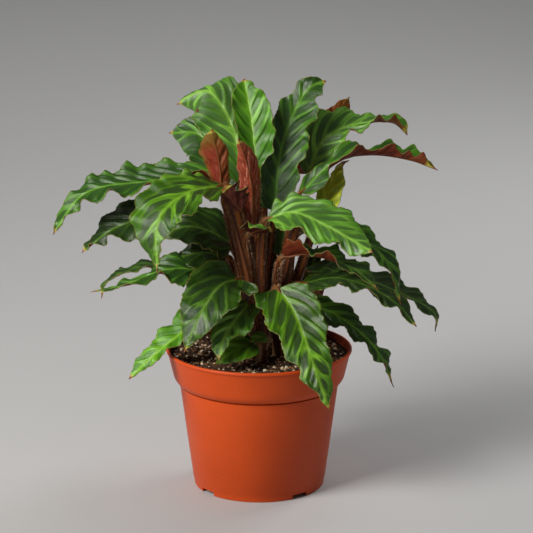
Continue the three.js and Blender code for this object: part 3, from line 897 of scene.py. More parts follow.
LEAVES = (
    Leaf(
        "01_back_left_broad", "north", 50, ((2, -9, 4), (-2, -5, 8)), (14, -32), 2.4, 0.1, 0.44,
        ((-13, 20, 243), (-21, 39, 285), (-38, 51, 312), (-54, 60, 310), (-67, 62, 301)), Tone.FRESH,
        drip=5,
        left=((25, 1, 1), (38, -1, 1), (47, 0, 0), (56, 2, 2), (66, 3, -1), (78, 5, -2), (90, 6, -3)),
        right=((20, 2, -1), (38, -2, 2), (52, 2, -1), (62, 3, 0), (71, 6, 3), (77, -3, -3), (86, -1, -4),
            (95, 1, 0)),
    ),
    Leaf(
        "02_back_left", "north", 42, ((1, -8, 5), (-2, -6, 7)), (12, -20), 2.4, 0.6, 0.42,
        ((-20, 40, 226), (-32, 53, 257), (-49, 63, 276), (-74, 70, 276)), drip=4,
        left=((30, -2, 2), (45, 2, -1), (60, 1, 1), (73, 4, -1), (84, 7, 0), (91, 2, 1)),
        right=((30, 1, -1), (46, -1, 2), (60, 1, -1), (72, 3, 2), (84, 5, 4), (92, 4, 3)),
    ),
    Leaf(
        "03_bright_upright", "middle", 35, ((1, -9, 3), (1, -9, 4)), (24, 18), 2.2, 0.3, 0.46,
        ((-1, 11, 249), (-4, 16, 277), (-7, 21, 302), (-12, 30, 328)), Tone.LIME, drip=3,
        left=((20, -4, 1), (34, -3, -1), (50, -4, 0), (62, -2, -1), (70, 0, -1), (79, 3, 2), (88, 4, 0),
            (96, 3, -1)),
        right=((13, -6, 2), (20, -4, 1), (27, 1, 0), (36, -1, 1), (44, 2, -1), (54, 0, 1), (66, 2, 0),
            (78, 3, -1), (85, 3, 2), (90, 1, -1), (96, 3, 1)),
    ),
    Leaf(
        "04_tall_dark", "middle", 39, ((-1, -9, 3), (1, -8, 6)), (16, 10), 2.6, 0.75, 0.4,
        ((12, 14, 224), (17, 24, 267), (27, 34, 298), (40, 42, 318), (54, 48, 323)), wing=1.0, drip=4,
        left=((2, 11, 0), (9, 12, -1), (19, 5, 1), (30, -1, 1), (42, -1, -2), (54, -4, 2), (63, -4, -3),
            (70, -1, 1), (78, -4, -1), (86, 2, -1), (90, 1, 2), (96, 2, 0)),
        right=((12, 2, -1), (24, 2, 0), (31, -3, 1), (40, 2, 2), (50, 2, -1), (54, 1, 2), (60, -3, 0),
            (70, 5, -2), (77, 5, 0), (83, 0, 0), (92, 7, 1), (97, 2, 0)),
    ),
    Leaf(
        "05_right_high", "north", 42, ((1, -8, 4), (2, 3, 9)), (14, 16), 2.8, 0.2, 0.4,
        ((39, 34, 248), (52, 44, 275), (75, 52, 286), (107, 60, 287), (121, 60, 276)), Tone.FRESH,
        underside=Underside.GOLDEN, drip=7,
        left=((12, 1, -2), (25, -1, 2), (38, 1, 2), (45, -3, 0), (53, 1, 0), (64, -4, -3), (69, -2, 0),
            (76, -2, -1), (82, 1, 1), (88, 3, 6), (94, 4, 6)),
        right=((10, 0, 1), (20, -3, -2), (31, -6, 1), (38, -4, -1), (48, -8, 4), (55, 0, -1), (60, 0, 0),
            (65, -2, 3), (71, -1, 6), (77, 1, -1), (83, 1, 4), (89, 1, 0), (96, 2, 2)),
    ),
    Leaf(
        "06_right_folded", "east", 31, ((0, -7, 7), (0, 5, 9)), (24, 50), 2.6, 0.0, 0.42,
        ((33, 6, 240), (60, 8, 265), (89, 8, 271), (120, 6, 267), (142, 4, 259)), wing=1.2, drip=11,
        left=((8, -1, 1), (17, -4, -2), (28, -7, -5), (38, -2, 0), (43, -1, 0), (53, -6, -3), (59, -3, -1),
            (66, 3, 2), (74, 2, -1), (81, 6, 4), (87, 5, 1), (93, 3, 2)),
        right=((5, 6, 1), (13, 4, -4), (20, 2, -5), (26, 0, 4), (34, 0, 1), (40, 1, 0), (47, 4, 4),
            (54, -1, -2), (60, -1, -2), (67, 2, 2), (74, -2, -2), (79, -1, 1), (83, -2, -1), (87, 3, 2),
            (93, 1, 0)),
    ),
    Leaf(
        "07_young_rolled", "east", 20, ((-4, -8, 3), (-4, -8, 3)), (20, 26), 0.6, 0.0, 0.42,
        ((49, 10, 223), (58, 14, 246), (65, 16, 260), (72, 18, 264)), Tone.YELLOW, wing=3.0, drip=14,
        left=((25, -1, -1), (45, -2, 0), (57, -5, -1), (70, -2, -1), (84, 1, 1)),
        right=((25, 5, -4), (45, 3, -4), (62, 4, -5), (76, 2, -3)),
    ),
    Leaf(
        "08_front_right_large", "south", 47, ((0, -6, 8), (2, -6, 8)), (4, -8), 3.0, 0.5, 0.4,
        ((7, -14, 224), (28, -28, 232), (54, -46, 225), (88, -64, 209)), Tone.FRESH, wing=1.3, drip=4,
        left=((3, 11, 1), (11, 1, -2), (18, 3, 1), (25, -1, -1), (33, -2, -1), (40, 1, 1), (50, -1, 0),
            (62, 4, 2), (72, 2, 0), (80, 2, 0), (90, 2, 0), (97, 2, -1)),
        right=((7, -5, 1), (15, -1, 0), (28, 0, 0), (35, -2, 1), (43, -8, 4), (52, -4, 2), (60, -1, 0),
            (66, -3, 1), (74, -6, 3), (80, -2, 0), (88, 3, -2), (96, 2, -1)),
    ),
    Leaf(
        "09_right_behind_large", "east", 32, ((0, -4, 8), (5, -5, 6)), (6, -8), 2.6, 0.1, 0.4,
        ((33, -2, 217), (66, -8, 214), (98, -22, 195), (112, -34, 159)), wing=4.0, drip=9,
        left=((20, 2, 2), (32, -1, -2), (44, -1, 1), (53, -4, -3), (59, -6, -1), (65, 2, -1), (71, -1, 1),
            (78, 0, 1), (86, 0, -1), (94, 1, 0)),
        right=((20, -1, 1), (32, 1, -2), (45, -3, 1), (55, 0, -1), (62, -4, 3), (68, -5, -1), (76, -6, 4),
            (84, -5, 2), (94, 0, 0)),
    ),
    Leaf(
        "10_front_right_arched", "east", 30, ((0, 3, 9), (3, -5, 8)), (32, -4), 2.4, 0.8, 0.4,
        ((20, -22, 195), (37, -28, 199), (58, -38, 196), (76, -46, 190), (93, -54, 176)), Tone.DARK,
        wing=1.0, drip=7,
        left=((13, 3, 2), (25, -2, -2), (33, 0, 0), (42, 4, 2), (48, 1, 0), (58, -3, -2), (66, 0, -1),
            (75, 4, 2), (84, 2, 0), (92, 2, -1)),
        right=((3, 5, 2), (7, 3, 3), (12, 7, 5), (17, 3, 3), (22, 5, 5), (28, 1, 0), (34, 0, -3),
            (39, 0, 1), (47, -2, 7), (52, -3, 7), (61, 0, 0), (68, -1, 0), (78, -2, 2), (85, -2, 0),
            (93, 0, 1)),
    ),
    Leaf(
        "11_right_low", "east", 34, ((0, -2, 9), (4, -5, 7)), (8, -8), 2.6, 0.4, 0.42,
        ((34, -8, 169), (61, -12, 175), (88, -18, 169), (110, -24, 156), (125, -28, 139)), Tone.DARK,
        wing=2.3, drip=5,
        left=((5, 1, 1), (12, -1, -1), (19, 0, 1), (25, -5, -2), (32, 1, 0), (45, -3, 1), (59, -8, -2),
            (67, -5, -1), (76, 1, 1), (83, 1, 2), (90, 1, -1), (96, 1, 0)),
        right=((10, 4, -4), (16, 5, -2), (20, 1, -2), (26, 1, 0), (33, -2, 4), (38, -4, 1), (44, 0, 1),
            (53, -9, 4), (60, -6, 4), (68, -3, 0), (74, -2, 1), (79, -6, 3), (88, -2, 0), (95, 0, -1)),
    ),
    Leaf(
        "12_right_low_long", "east", 38, ((0, -3, 9), (5, -4, 7)), (6, -10), 2.8, 0.65, 0.42,
        ((35, 14, 173), (70, 20, 171), (115, 26, 152), (142, 26, 136), (144, 24, 120)), Tone.DARK, wing=2.4,
        drip=12,
        left=((10, 1, -1), (20, -1, 2), (32, 1, -2), (45, -4, -1), (56, 1, 2), (61, 2, 3), (67, -2, 0),
            (75, 4, 1), (82, -1, -1), (89, 2, 0), (95, 1, 0)),
        right=((12, -1, 2), (25, 1, -2), (38, -2, 3), (50, 0, -1), (63, -7, 5), (71, -7, 5), (78, -2, 1),
            (84, 1, 1), (89, -1, 1)),
    ),
    Leaf(
        "13_right_over_rim", "east", 33, ((1, -4, 8), (6, -6, 4)), (6, -8), 2.8, 0.15, 0.4,
        ((36, 12, 148), (64, 7, 138), (94, 0, 113), (109, -4, 81)), wing=1.2, drip=14,
        left=((8, 3, 1), (14, 3, -1), (22, -2, -1), (31, 0, 1), (37, -2, -1), (47, -6, -2), (55, -1, 0),
            (67, -6, -3), (75, 2, 1), (82, 0, -1), (88, 1, 0)),
        right=((10, -2, 2), (22, 2, 1), (29, -1, 0), (37, -7, 4), (45, -6, 0), (50, -3, 2), (58, -8, 3),
            (66, -3, 3), (74, -2, 0), (80, -6, 3), (88, -2, 0)),
    ),
    Leaf(
        "14_front_hanging", "south", 50, ((0, -7, 7), (1, -8, 5)), (6, -4), 3.0, 0.35, 0.26,
        ((15, -26, 170), (29, -50, 154), (42, -78, 123), (55, -86, 88)), Tone.SPOTTED, drip=6,
        left=((4, 1, 0), (9, 0, 1), (17, -2, -1), (25, -3, 1), (33, -5, -1), (43, -3, 1), (52, -5, -1),
            (60, -2, 1), (69, 1, 0), (77, 1, -1), (87, 3, 0), (94, 1, 0)),
        right=((2.5, 9, 8), (7, 5, 1), (13, -1, -1), (20, -1, 1), (28, 0, -1), (35, -1, 1), (41, -5, 2),
            (48, -3, 1), (57, 0, -1), (66, -5, 0), (73, 1, 0), (79, 0, 1), (85, -2, -1), (93, 1, 0)),
    ),
    Leaf(
        "15_front_left", "south", 48, ((-1, -6, 7), (-2, -7, 6)), (4, -8), 2.8, 0.9, 0.34,
        ((-16, -22, 177), (-31, -38, 175), (-45, -58, 159), (-58, -72, 131)), Tone.DUSKY, drip=6,
        left=((1.5, 13, 7), (4.5, 13, 6), (8, 6, 0), (12, -2, 1), (18, -4, 3), (25, -2, 0), (35, -1, -1),
            (44, 1, 1), (50, -3, 1), (58, -3, 0), (67, -2, 1), (77, -1, 1), (86, -2, -1), (94, 1, 1)),
        right=((5, 3, 6), (12, 5, 3), (20, 3, 1), (27, 3, -1), (37, -1, 1), (47, -1, -1), (56, -1, 1),
            (64, -1, -1), (72, -2, 1), (83, -1, -1), (93, 0, 1)),
    ),
    Leaf(
        "16_left_high_front", "south", 49, ((-1, -6, 8), (-4, -8, 5)), (2, -6), 2.8, 0.55, 0.4,
        ((-29, -20, 252), (-55, -40, 251), (-77, -60, 234), (-78, -73, 195)), Tone.SPOTTED, wing=2.7,
        drip=8,
        left=((5, -2, 1), (13, 0, 0), (20, -3, 1), (26, -9, 5), (33, -6, 2), (39, -4, 0), (46, -2, 2),
            (51, -7, 3), (57, -4, 1), (65, -5, 0), (71, -4, 2), (79, -9, 1), (86, -5, 3), (94, -1, 0)),
        right=((5, -1, -1), (11, 1, 1), (15, 0, -1), (19, 2, 2), (24, -1, -1), (33, 3, 2), (37, 1, 0),
            (41, 3, 2), (46, 1, -1), (53, 5, 1), (59, 2, -1), (64, 4, 1), (70, 1, -1), (76, 0, 1),
            (87, -1, -1), (95, 0, 0)),
    ),
    Leaf(
        "17_left_longest", "west", 40, ((2, 3, 8), (-3, -7, 7)), (12, -4), 3.0, 0.25, 0.46,
        ((-16, 12, 226), (-41, 17, 251), (-87, 13, 248), (-137, 4, 241), (-164, -2, 208)), wing=1.6, drip=6,
        left=((8, -1, 2), (16, 1, -2), (25, -3, 4), (34, 1, -2), (42, -3, 3), (50, -4, 4), (54, 2, 0),
            (59, 0, -2), (66, -2, 7), (71, 0, -1), (74, -1, -2), (79, -4, 6), (84, -3, -1), (90, -5, 4),
            (95, -3, -1)),
        right=((10, 1, -1), (20, 1, 3), (29, 3, 5), (33, 2, 4), (37, 5, 8), (43, 3, 4), (47, 3, 5),
            (51, 2, 2), (55, 5, 6), (61, -1, -1), (65, 0, 2), (68, -3, 1), (71, -1, 4), (77, -3, -4),
            (81, -2, 1), (87, -2, 1), (93, 3, -2), (97, 1, 2)),
    ),
    Leaf(
        "18_left_middle", "west", 37, ((0, -5, 8), (-4, -6, 7)), (4, -10), 2.6, 0.7, 0.46,
        ((-38, 22, 206), (-72, 16, 220), (-113, 8, 212), (-142, 6, 191)), Tone.DARK, wing=0.8, drip=5,
        left=((10, 1, -1), (22, -2, 3), (34, 1, -2), (46, -3, 4), (56, 1, 0), (66, 0, -2), (77, -6, 6),
            (83, -2, -1), (91, -6, 3), (96, -1, 0)),
        right=((10, 1, 2), (20, 0, -2), (32, 2, 3), (44, 0, -2), (56, 2, 5), (61, 3, 5), (67, 4, -1),
            (77, 5, 1), (83, 1, -2), (90, 0, 0), (96, 4, 1)),
    ),
    Leaf(
        "19_left_striped", "west", 38, ((0, -5, 8), (-1, -5, 8)), (4, -8), 2.2, 0.45, 0.42,
        ((-22, 8, 198), (-40, 2, 210), (-58, -4, 215), (-80, -8, 208)), Tone.DARK, drip=4,
        left=((3, 9, 0), (12, 9, -2), (24, 4, 2), (42, 1, -2), (55, 1, 1), (68, 2, -2), (82, 1, 2),
            (93, 1, -1)),
        right=((3, 8, 1), (12, 11, -1), (25, 9, 2), (40, 7, -1), (54, 5, 2), (70, 3, -1), (86, 2, 1)),
    ),
    Leaf(
        "20_left_inner", "west", 32, ((0, -4, 8), (-1, -4, 8)), (4, -8), 2.2, 0.05, 0.4,
        ((-27, 10, 187), (-41, 6, 191), (-53, 2, 191), (-67, 0, 188)), Tone.DARK, wing=2.0, drip=3,
        left=((5, 7, 0), (15, 4, 2), (30, 3, -2), (44, 2, 3), (60, 5, -2), (75, 5, 1), (90, 4, -1)),
        right=((4, 12, 0), (14, 12, -1), (30, 5, 2), (46, 1, -2), (62, -1, 2), (78, 1, -1), (91, 1, 1)),
    ),
    Leaf(
        "21_left_low", "west", 36, ((0, -6, 8), (-1, 1, 9)), (2, 4), 2.6, 0.85, 0.34,
        ((-24, -10, 167), (-50, -12, 181), (-76, -19, 183), (-106, -26, 173), (-133, -30, 168)), wing=2.0,
        drip=8,
        left=((10, -1, 2), (22, 1, -2), (32, -1, 2), (39, 4, -4), (46, 1, -3), (52, -4, 6), (58, -4, -1),
            (65, -2, -2), (71, -1, 2), (77, 0, 3), (82, -2, 0), (88, 2, -1), (95, 1, 0)),
        right=((10, 1, 2), (20, -1, -1), (30, -6, -3), (37, 2, 2), (42, 1, 1), (48, 0, -1), (57, -7, -3),
            (64, -2, -5), (70, -1, -3), (76, 2, 1), (83, 1, -2), (94, 1, 0)),
    ),
    Leaf(
        "22_left_low_behind", "west", 32, ((0, 0, 9), (-4, 0, 8)), (10, -6), 2.6, 0.3, 0.42,
        ((-34, 16, 170), (-64, 14, 180), (-97, 10, 178), (-122, 8, 167), (-127, 6, 153)), Tone.DARK, drip=9,
        left=((12, 1, -1), (25, -2, 3), (38, 1, -2), (50, -1, -1), (55, -1, 3), (63, -3, -1), (70, -1, 2),
            (76, 0, 2), (84, -1, 1), (92, -1, 0)),
        right=((12, 0, 2), (25, 1, -2), (38, -1, 2), (48, 0, -2), (56, 0, 2), (63, 2, -1), (69, 3, -2),
            (74, 2, 2), (80, -2, 2), (85, 1, 0), (91, 2, 2)),
    ),
    Leaf(
        "23_left_over_rim", "west", 26, ((-1, -6, 7), (-3, -7, 6)), (4, -8), 2.4, 0.6, 0.34,
        ((-42, -14, 147), (-60, -26, 135), (-82, -36, 119), (-103, -42, 100)), Tone.LIME, drip=5,
        left=((12, -2, 2), (24, -4, 0), (35, -5, 3), (44, -4, 1), (53, -6, 4), (60, -6, 0), (68, -2, 2),
            (75, -2, 0), (86, -1, 1), (95, 1, 1)),
        right=((10, 0, 1), (20, 3, 6), (25, 3, 0), (33, 0, -2), (46, 3, 1), (54, 1, -1), (61, -1, 1),
            (72, 2, -1), (83, 4, 0), (93, 2, 0)),
    ),
    Leaf(
        "24_front_low", "south", 40, ((0, -7, 7), (-1, -8, 5)), (4, -6), 2.2, 0.15, 0.34,
        ((-7, -24, 158), (-17, -40, 150), (-27, -52, 137), (-31, -60, 120)), Tone.FRESH, drip=6,
        left=((5, 0, 1), (16, -6, -1), (27, -7, 1), (36, -5, -1), (44, -4, 2), (52, -4, 0), (60, -8, 2),
            (68, -8, 0), (80, -4, 1), (92, -1, 0)),
        right=((10, -2, 0), (22, -5, 1), (34, -8, -1), (46, -7, 1), (57, -4, -1), (66, -2, 0), (76, -1, 1),
            (86, 2, 0), (93, 2, 0)),
    ),
    Leaf(
        "25_small_at_soil", "south", 27, ((0, -6, 8), (-1, -6, 8)), (6, -6), 1.2, 0.5, 0.34,
        ((-2, -28, 125), (-15, -38, 125), (-36, -52, 114)), Tone.PLAIN, stalk=StalkTone.PALE, drip=5,
        left=((20, 1, 0), (45, 0, 0), (70, -1, -1), (88, -1, -1)),
        right=((25, 2, 1), (50, 3, 1), (75, 1, 1), (90, 0, 0)),
    ),
    Leaf(
        "26_baby", "south", 12, ((0, -7, 7), (0, -7, 7)), (10, 0), 0.5, 0.2, 0.4,
        ((7, -24, 128), (0, -30, 131), (-7, -36, 129)), Tone.PLAIN, stalk=StalkTone.PALE, drip=2,
    ),
    Leaf(
        "27_red_young", "south", 24, ((0, 9, 2), (0, 9, 2)), (22, 16), 1.0, 0.4, 0.38,
        ((-29, -9, 241), (-31, -12, 268), (-37, -13, 296)), underside=Underside.YOUNG_GOLD, wing=1.0,
        drip=4,
        left=((15, -3, 0), (37, -5, 0), (50, -4, -1), (63, -1, 1), (72, 0, -1), (84, 0, 0), (95, 1, 1)),
        right=((15, -2, 1), (31, -2, -1), (45, 0, 1), (56, 2, -1), (70, 7, 1), (80, 6, -1), (90, 5, 1)),
    ),
    Leaf(
        "28_red_half_rolled", "middle", 26, ((-3, 9, 2), (-3, 9, 2)), (44, 34), 1.0, 0.0, 0.42,
        ((-4, -10, 218), (-7, -12, 257), (-16, -14, 288)), underside=Underside.YOUNG_RED, wing=1.5, drip=4,
        left=((20, 1, 0), (34, 0, 1), (48, 1, 0), (58, 1, -1), (70, 3, 0), (83, 3, -1), (95, 2, 0)),
        right=((20, -1, 1), (40, -2, -1), (55, -3, 0), (70, -1, -1), (84, -2, 0), (96, 1, 0)),
    ),
    Leaf(
        "29_inner_dark", "north", 20, ((0, -9, 3), (0, -9, 3)), (10, 0), 1.4, 0.1, 0.44,
        ((19, 14, 186), (20, 16, 203), (24, 20, 221)), Tone.PLAIN, drip=4,
        left=((10, 3, 1), (30, 5, -1), (50, 4, 1), (70, 4, -1), (88, 2, 1)),
        right=((15, 1, 1), (35, 0, -1), (55, 2, 1), (75, 1, -1), (90, 2, 1)),
    ),
    Leaf(
        "30_inner_right", "east", 18, ((-2, -9, 2), (-2, -9, 2)), (10, 0), 1.4, 0.7, 0.44,
        ((34, 20, 150), (42, 30, 171), (48, 38, 189)), Tone.DARK, drip=4,
    ),
    Leaf(
        "31_back_right_high", "north", 38, ((-2, 9, 3), (0, 9, 3)), (12, 4), 2.6, 0.35, 0.4,
        ((32, 50, 247), (57, 70, 284), (74, 80, 304)), underside=Underside.GOLDEN, drip=3,
        left=((20, 1, 2), (40, -1, -2), (60, 1, 1), (80, 3, -1), (93, 3, 1)),
        right=((20, -3, -1), (40, -7, 1), (60, -7, -1), (80, -5, 1), (92, -1, 0)),
    ),
    Leaf(
        "32_back_high", "north", 40, ((0, -5, 8), (0, 5, 8)), (12, -8), 2.8, 0.8, 0.4,
        ((2, 44, 238), (-2, 76, 262), (-8, 108, 256), (-12, 136, 226)), Tone.FRESH, wing=3.0,
    ),
    Leaf(
        "33_back_left_middle", "north", 36, ((0, 0, 9), (-4, 4, 8)), (10, -8), 2.4, 0.0, 0.4,
        ((-24, 34, 188), (-50, 56, 203), (-78, 76, 200), (-92, 88, 184)),
    ),
    Leaf(
        "34_back_right_middle", "north", 36, ((0, 0, 9), (4, 4, 8)), (10, -8), 2.4, 0.55, 0.4,
        ((32, 42, 197), (48, 62, 205), (68, 82, 199), (80, 94, 180)), Tone.DARK,
    ),
    Leaf(
        "35_back_middle", "north", 38, ((0, 0, 9), (1, 5, 8)), (10, -8), 2.6, 0.25, 0.4,
        ((2, 42, 184), (8, 72, 198), (14, 106, 188), (18, 134, 156)),
    ),
    Leaf(
        "36_back_left_low", "north", 34, ((0, 1, 9), (-4, 6, 7)), (10, -8), 2.4, 0.9, 0.4,
        ((-14, 38, 162), (-30, 64, 166), (-48, 90, 152), (-58, 106, 126)), Tone.DARK,
    ),
    Leaf(
        "37_back_right_low", "north", 34, ((0, 1, 9), (4, 6, 7)), (10, -8), 2.4, 0.1, 0.4,
        ((16, 40, 146), (28, 66, 152), (42, 94, 140), (50, 112, 112)),
    ),
    Leaf(
        "38_back_left_over_rim", "west", 28, ((0, 1, 9), (-6, 3, 7)), (10, -8), 2.2, 0.45, 0.4,
        ((-25, 26, 140), (-42, 44, 145), (-56, 60, 134), (-66, 70, 108)), Tone.DARK,
    ),
    Leaf(
        "39_back_over_rim", "north", 34, ((0, 1, 9), (0, 7, 6)), (10, -8), 2.4, 0.7, 0.4,
        ((-3, 38, 141), (-6, 64, 147), (-10, 94, 133), (-12, 116, 99)), Tone.FRESH,
    ),
    Leaf(
        "40_middle_frilled", "south", 13, ((0, 7, 7), (1, 7, 7)), (20, 10), 1.4, 0.2, 0.44,
        ((-7, -22, 214), (2, -26, 218), (11, -29, 218)), Tone.FRESH, underside=Underside.DEEP, wing=1.0,
        drip=3,
        left=((10, 9, 3), (22, 3, 1), (38, 9, 3), (60, 10, 3), (74, 3, 1), (90, 5, 1)),
        right=((6, 9, -3), (18, 14, -12), (34, 8, -3), (50, 13, -14), (68, 15, -15), (84, 10, -10),
            (94, 7, -1)),
    ),
)

# A frilled leaf in the middle whose blade is seen only from below. Its underside is painted dark as painted
# shade.
FRILLED = Leaf(
    "41_middle_underside", "middle", 10, ((0, 9, 3), (0, 9, 3)), (8, 8), 1.0, 0.2, 0.5,
    ((-13, -24, 232), (-21, -27, 242), (-29, -30, 251)), Tone.PLAIN, underside=Underside.DEEP, drip=3,
    left=((8, 1, 0), (22, 6, 1), (33, 9, 3), (41, 7, 0), (50, 12, 2), (60, 6, -1), (70, 3, -1),
        (80, 12, 3), (88, 7, 0), (95, 5, 1)),
    right=((30, 0, 0), (70, 1, 1)),
)


def run_along(points: Array) -> Array:
    """Measure the way along a line to each of its points."""
    steps = np.linalg.norm(np.diff(points, axis=0), axis=1)
    return np.concatenate([[0], np.cumsum(steps)])


class Line:
    """A smooth line through points, read by the share of its length."""

    marks = 600

    def __init__(self, points: tuple[Point, ...]) -> None:
        """Measure the line through these points, in millimetres.

        Args:
            points: what it goes through, from start to end.
        """
        knots = np.array(points, float)
        self.knots = np.vstack([2 * knots[0] - knots[1], knots, 2 * knots[-1] - knots[-2]])
        self.spans = len(knots) - 1
        self.times = np.linspace(0, 1, self.marks)
        self.run = run_along(self._cubic(self.times)[0])
        self.length = float(self.run[-1])

    def _cubic(self, times: Array) -> tuple[Array, Array]:
        """Points and directions at times from 0 to 1.

        Args:
            times: where it is read, with an equal part of the time for each span.

        Returns:
            The points, and the directions at any length.
        """
        span = np.clip(np.floor(times * self.spans), 0, self.spans - 1).astype(int)
        w = (times * self.spans - span)[:, None]
        before, start, end, after = (self.knots[span + k] for k in range(4))
        leave = 0.5 * (end - before)
        arrive = 0.5 * (after - start)
        square = 3 * (end - start) - 2 * leave - arrive
        cube = 2 * (start - end) + leave + arrive
        point = start + w * (leave + w * (square + w * cube))
        return point, leave + w * (2 * square + 3 * w * cube)

    def read(self, shares: Array) -> tuple[Array, Array]:
        """Points and unit directions at these shares of the length.

        Args:
            shares: where it is read, from 0 to 1.

        Returns:
            The points, and the unit directions.
        """
        times = np.interp(shares * self.length, self.run, self.times)
        point, direction = self._cubic(times)
        return point, unit(direction)


@dataclass
class Blade:
    """One leaf blade, from its joint with the stalk to its tip.

    A column is a line of vertices along the blade, and a row one across it. The drip is the thin
    tip. Waves are the margin's large rises, frills its small ones, and scallops and teeth move it
    in and out. Pleats follow the side veins between the rib and the margin, and the furrow is the
    rib's. The finishes are told that every thin tip is told_drip long.
    """

    leaf: Leaf
    number: int
    thickness: float = 0.5
    row_step: float = 1.0
    least_rows: int = 24
    half_columns: int = 20
    column_power: float = 1.2
    base_power: float = 1.6
    tip_power: float = 1.4
    drip_half_width: float = 0.75
    least_half_width: float = 0.3
    wave_length: float = 30.0
    wave_sweep: float = 0.45
    wave_power: float = 1.9
    vein_sweep: float = 1.15
    vein_bend: float = 0.02
    vein_offset: float = 17.3
    other_half_phase: float = 0.4
    scallop: float = 0.025
    scallop_length: float = 9.5
    tooth: float = 0.28
    tooth_length: float = 3.7
    frill: float = 0.24
    frill_length: float = 10.3
    pleat: float = 0.58
    furrow: float = 0.35
    furrow_width: float = 0.9
    flat_share: float = 0.4
    told_drip: float = 7.0

    def half_width(self, s: Array, length: float) -> Array:
        """Half the width of the plain outline at shares of the rib, down to its thin tip.

        Args:
            s: shares of the rib.
            length: the rib's length in millimetres.

        Returns:
            The half width at each share, in millimetres.
        """
        drip = self.leaf.drip
        near, far = self.base_power * self.leaf.belly, self.tip_power * (1 - self.leaf.belly)
        t = np.clip(s * length / (length - 0.6 * drip), 0, 1)

        def bow(u: Array) -> Array:
            """The plain bow of the outline."""
            return u**near * (1 - u) ** far

        body = self.leaf.width / 2 * bow(t) / bow(np.array(near / (near + far)))
        left = np.clip((1 - s) * length / drip, 0, 1)
        spur = self.least_half_width + (self.drip_half_width - self.least_half_width) * left**0.7
        return np.sqrt(body**2 + spur**2)

    def axes(self, s: Array) -> tuple[Array, Array, Array, float]:
        """The rib's points at shares of it, its sideways and upward directions, and its length.

        Args:
            s: shares of the rib.

        Returns:
            The points, the sideways and the upward unit directions, and the length.
        """
        line = Line(self.leaf.rib)
        point, along = line.read(s)
        first, last = (unit(np.array(look, float)) for look in self.leaf.looks)
        up = square_to(first + (last - first) * s[:, None], along)
        return point, np.cross(up, along), up, line.length

    def margin(self, crests: tuple[Point, ...], s: Array) -> tuple[Array, Array]:
        """How far a margin with listed crests goes out and up, easing from each to the next.

        Args:
            crests: the crests and troughs that the leaf lists for this margin.
            s: shares of the rib.

        Returns:
            How far out and how far up the margin goes at each share, in millimetres.
        """
        knots = np.array(((0, 0, 0), *crests, (100, 0, 0)), float)
        knots[:, 0] /= 100
        span = np.clip(np.searchsorted(knots[:, 0], s, side="right") - 1, 0, len(knots) - 2)
        start, end = knots[span], knots[span + 1]
        ease = 0.5 - 0.5 * np.cos(np.pi * (s - start[:, 0]) / (end[:, 0] - start[:, 0]))
        read = start + (end - start) * ease[:, None]
        return read[:, 1], read[:, 2]

    def ends(self, s: Array) -> Array:
        """How much of a relief there is: it dies out at the stalk and at the tip."""
        return np.sin(np.pi * np.clip(s, 0, 1)) ** 0.6

    def phase(self, c: Array) -> Array:
        """The phase of the leaf's waves, which differs between its halves."""
        return self.leaf.phase + np.where(c > 0, 0, self.other_half_phase)

    def waves(self, c: Array, s: Array, run: Array, half: Array) -> Array:
        """How far the margin's even waves rise, for a blade's side with no listed crests.

        Args:
            c: places across.
            s: places along.
            run: millimetres along the rib.
            half: half widths.

        Returns:
            The rise, in millimetres.
        """
        # Slow swings keep the waves from repeating, and a second, shorter wave roughens them.
        phase = self.phase(c)
        inward = (1 - np.abs(c)) * half
        crest = (run - self.wave_sweep * half + 1.1 * inward) / self.wave_length + phase
        crest = crest + 0.07 * np.sin(TURN * (run / 47 + 0.61 * self.number + phase))
        uneven = 1 + 0.4 * np.sin(TURN * (run / 71 + 0.37 * self.number) + 2 * phase)
        lobes = np.sin(TURN * crest) + 0.28 * np.sin(2 * TURN * crest + 1.1)
        return self.leaf.wave * self.ends(s) * uneven * lobes

    def surface(self, c: Array, s: Array) -> tuple[Array, dict[str, Array]]:
        """Bend the blade's middle surface.

        Args:
            c: each vertex's place across, from -1 to 1.
            s: each vertex's place along, from 0 to 1.

        Returns:
            The points, and the numbers that the materials read.
        """
        leaf, number = self.leaf, self.number
        point, side, up, length = self.axes(s)
        away, run, ends, phase = np.abs(c), s * length, self.ends(s), self.phase(c)
        half = self.half_width(s, length)
        rise = np.zeros_like(s)
        for crests, mine in ((leaf.left, c > 0), (leaf.right, c <= 0)):
            if crests:
                out, lifted = self.margin(crests, s)
                half = np.where(mine, np.maximum(half + out, self.least_half_width), half)
                rise = np.where(mine, lifted, rise)
            else:
                rise = np.where(mine, self.waves(c, s, run, half), rise)
        notch = np.sin(TURN * (run / self.scallop_length + 3 * phase + number))
        half = half * (1 + self.scallop * notch * away**4)
        tooth = np.sin(TURN * (run / self.tooth_length + 0.4 * np.sin(run / 5.3 + number)))
        half = half + self.tooth * ends * tooth * away**8
        reach = away * half
        vein = run - self.vein_sweep * reach - self.vein_bend * reach**2

        # The section is an arc that steepens outwards and keeps the fold's mean angle.
        lift = np.radians(leaf.fold[0] + (leaf.fold[1] - leaf.fold[0]) * s)
        lift = np.where(np.abs(lift) < 1e-3, 1e-3, lift)
        first, gain = self.flat_share * lift, 2 * (1 - self.flat_share) * lift
        steep = first + gain * away
        out = half * (np.sin(steep) - np.sin(first)) / gain
        arch = half * (np.cos(first) - np.cos(steep)) / gain

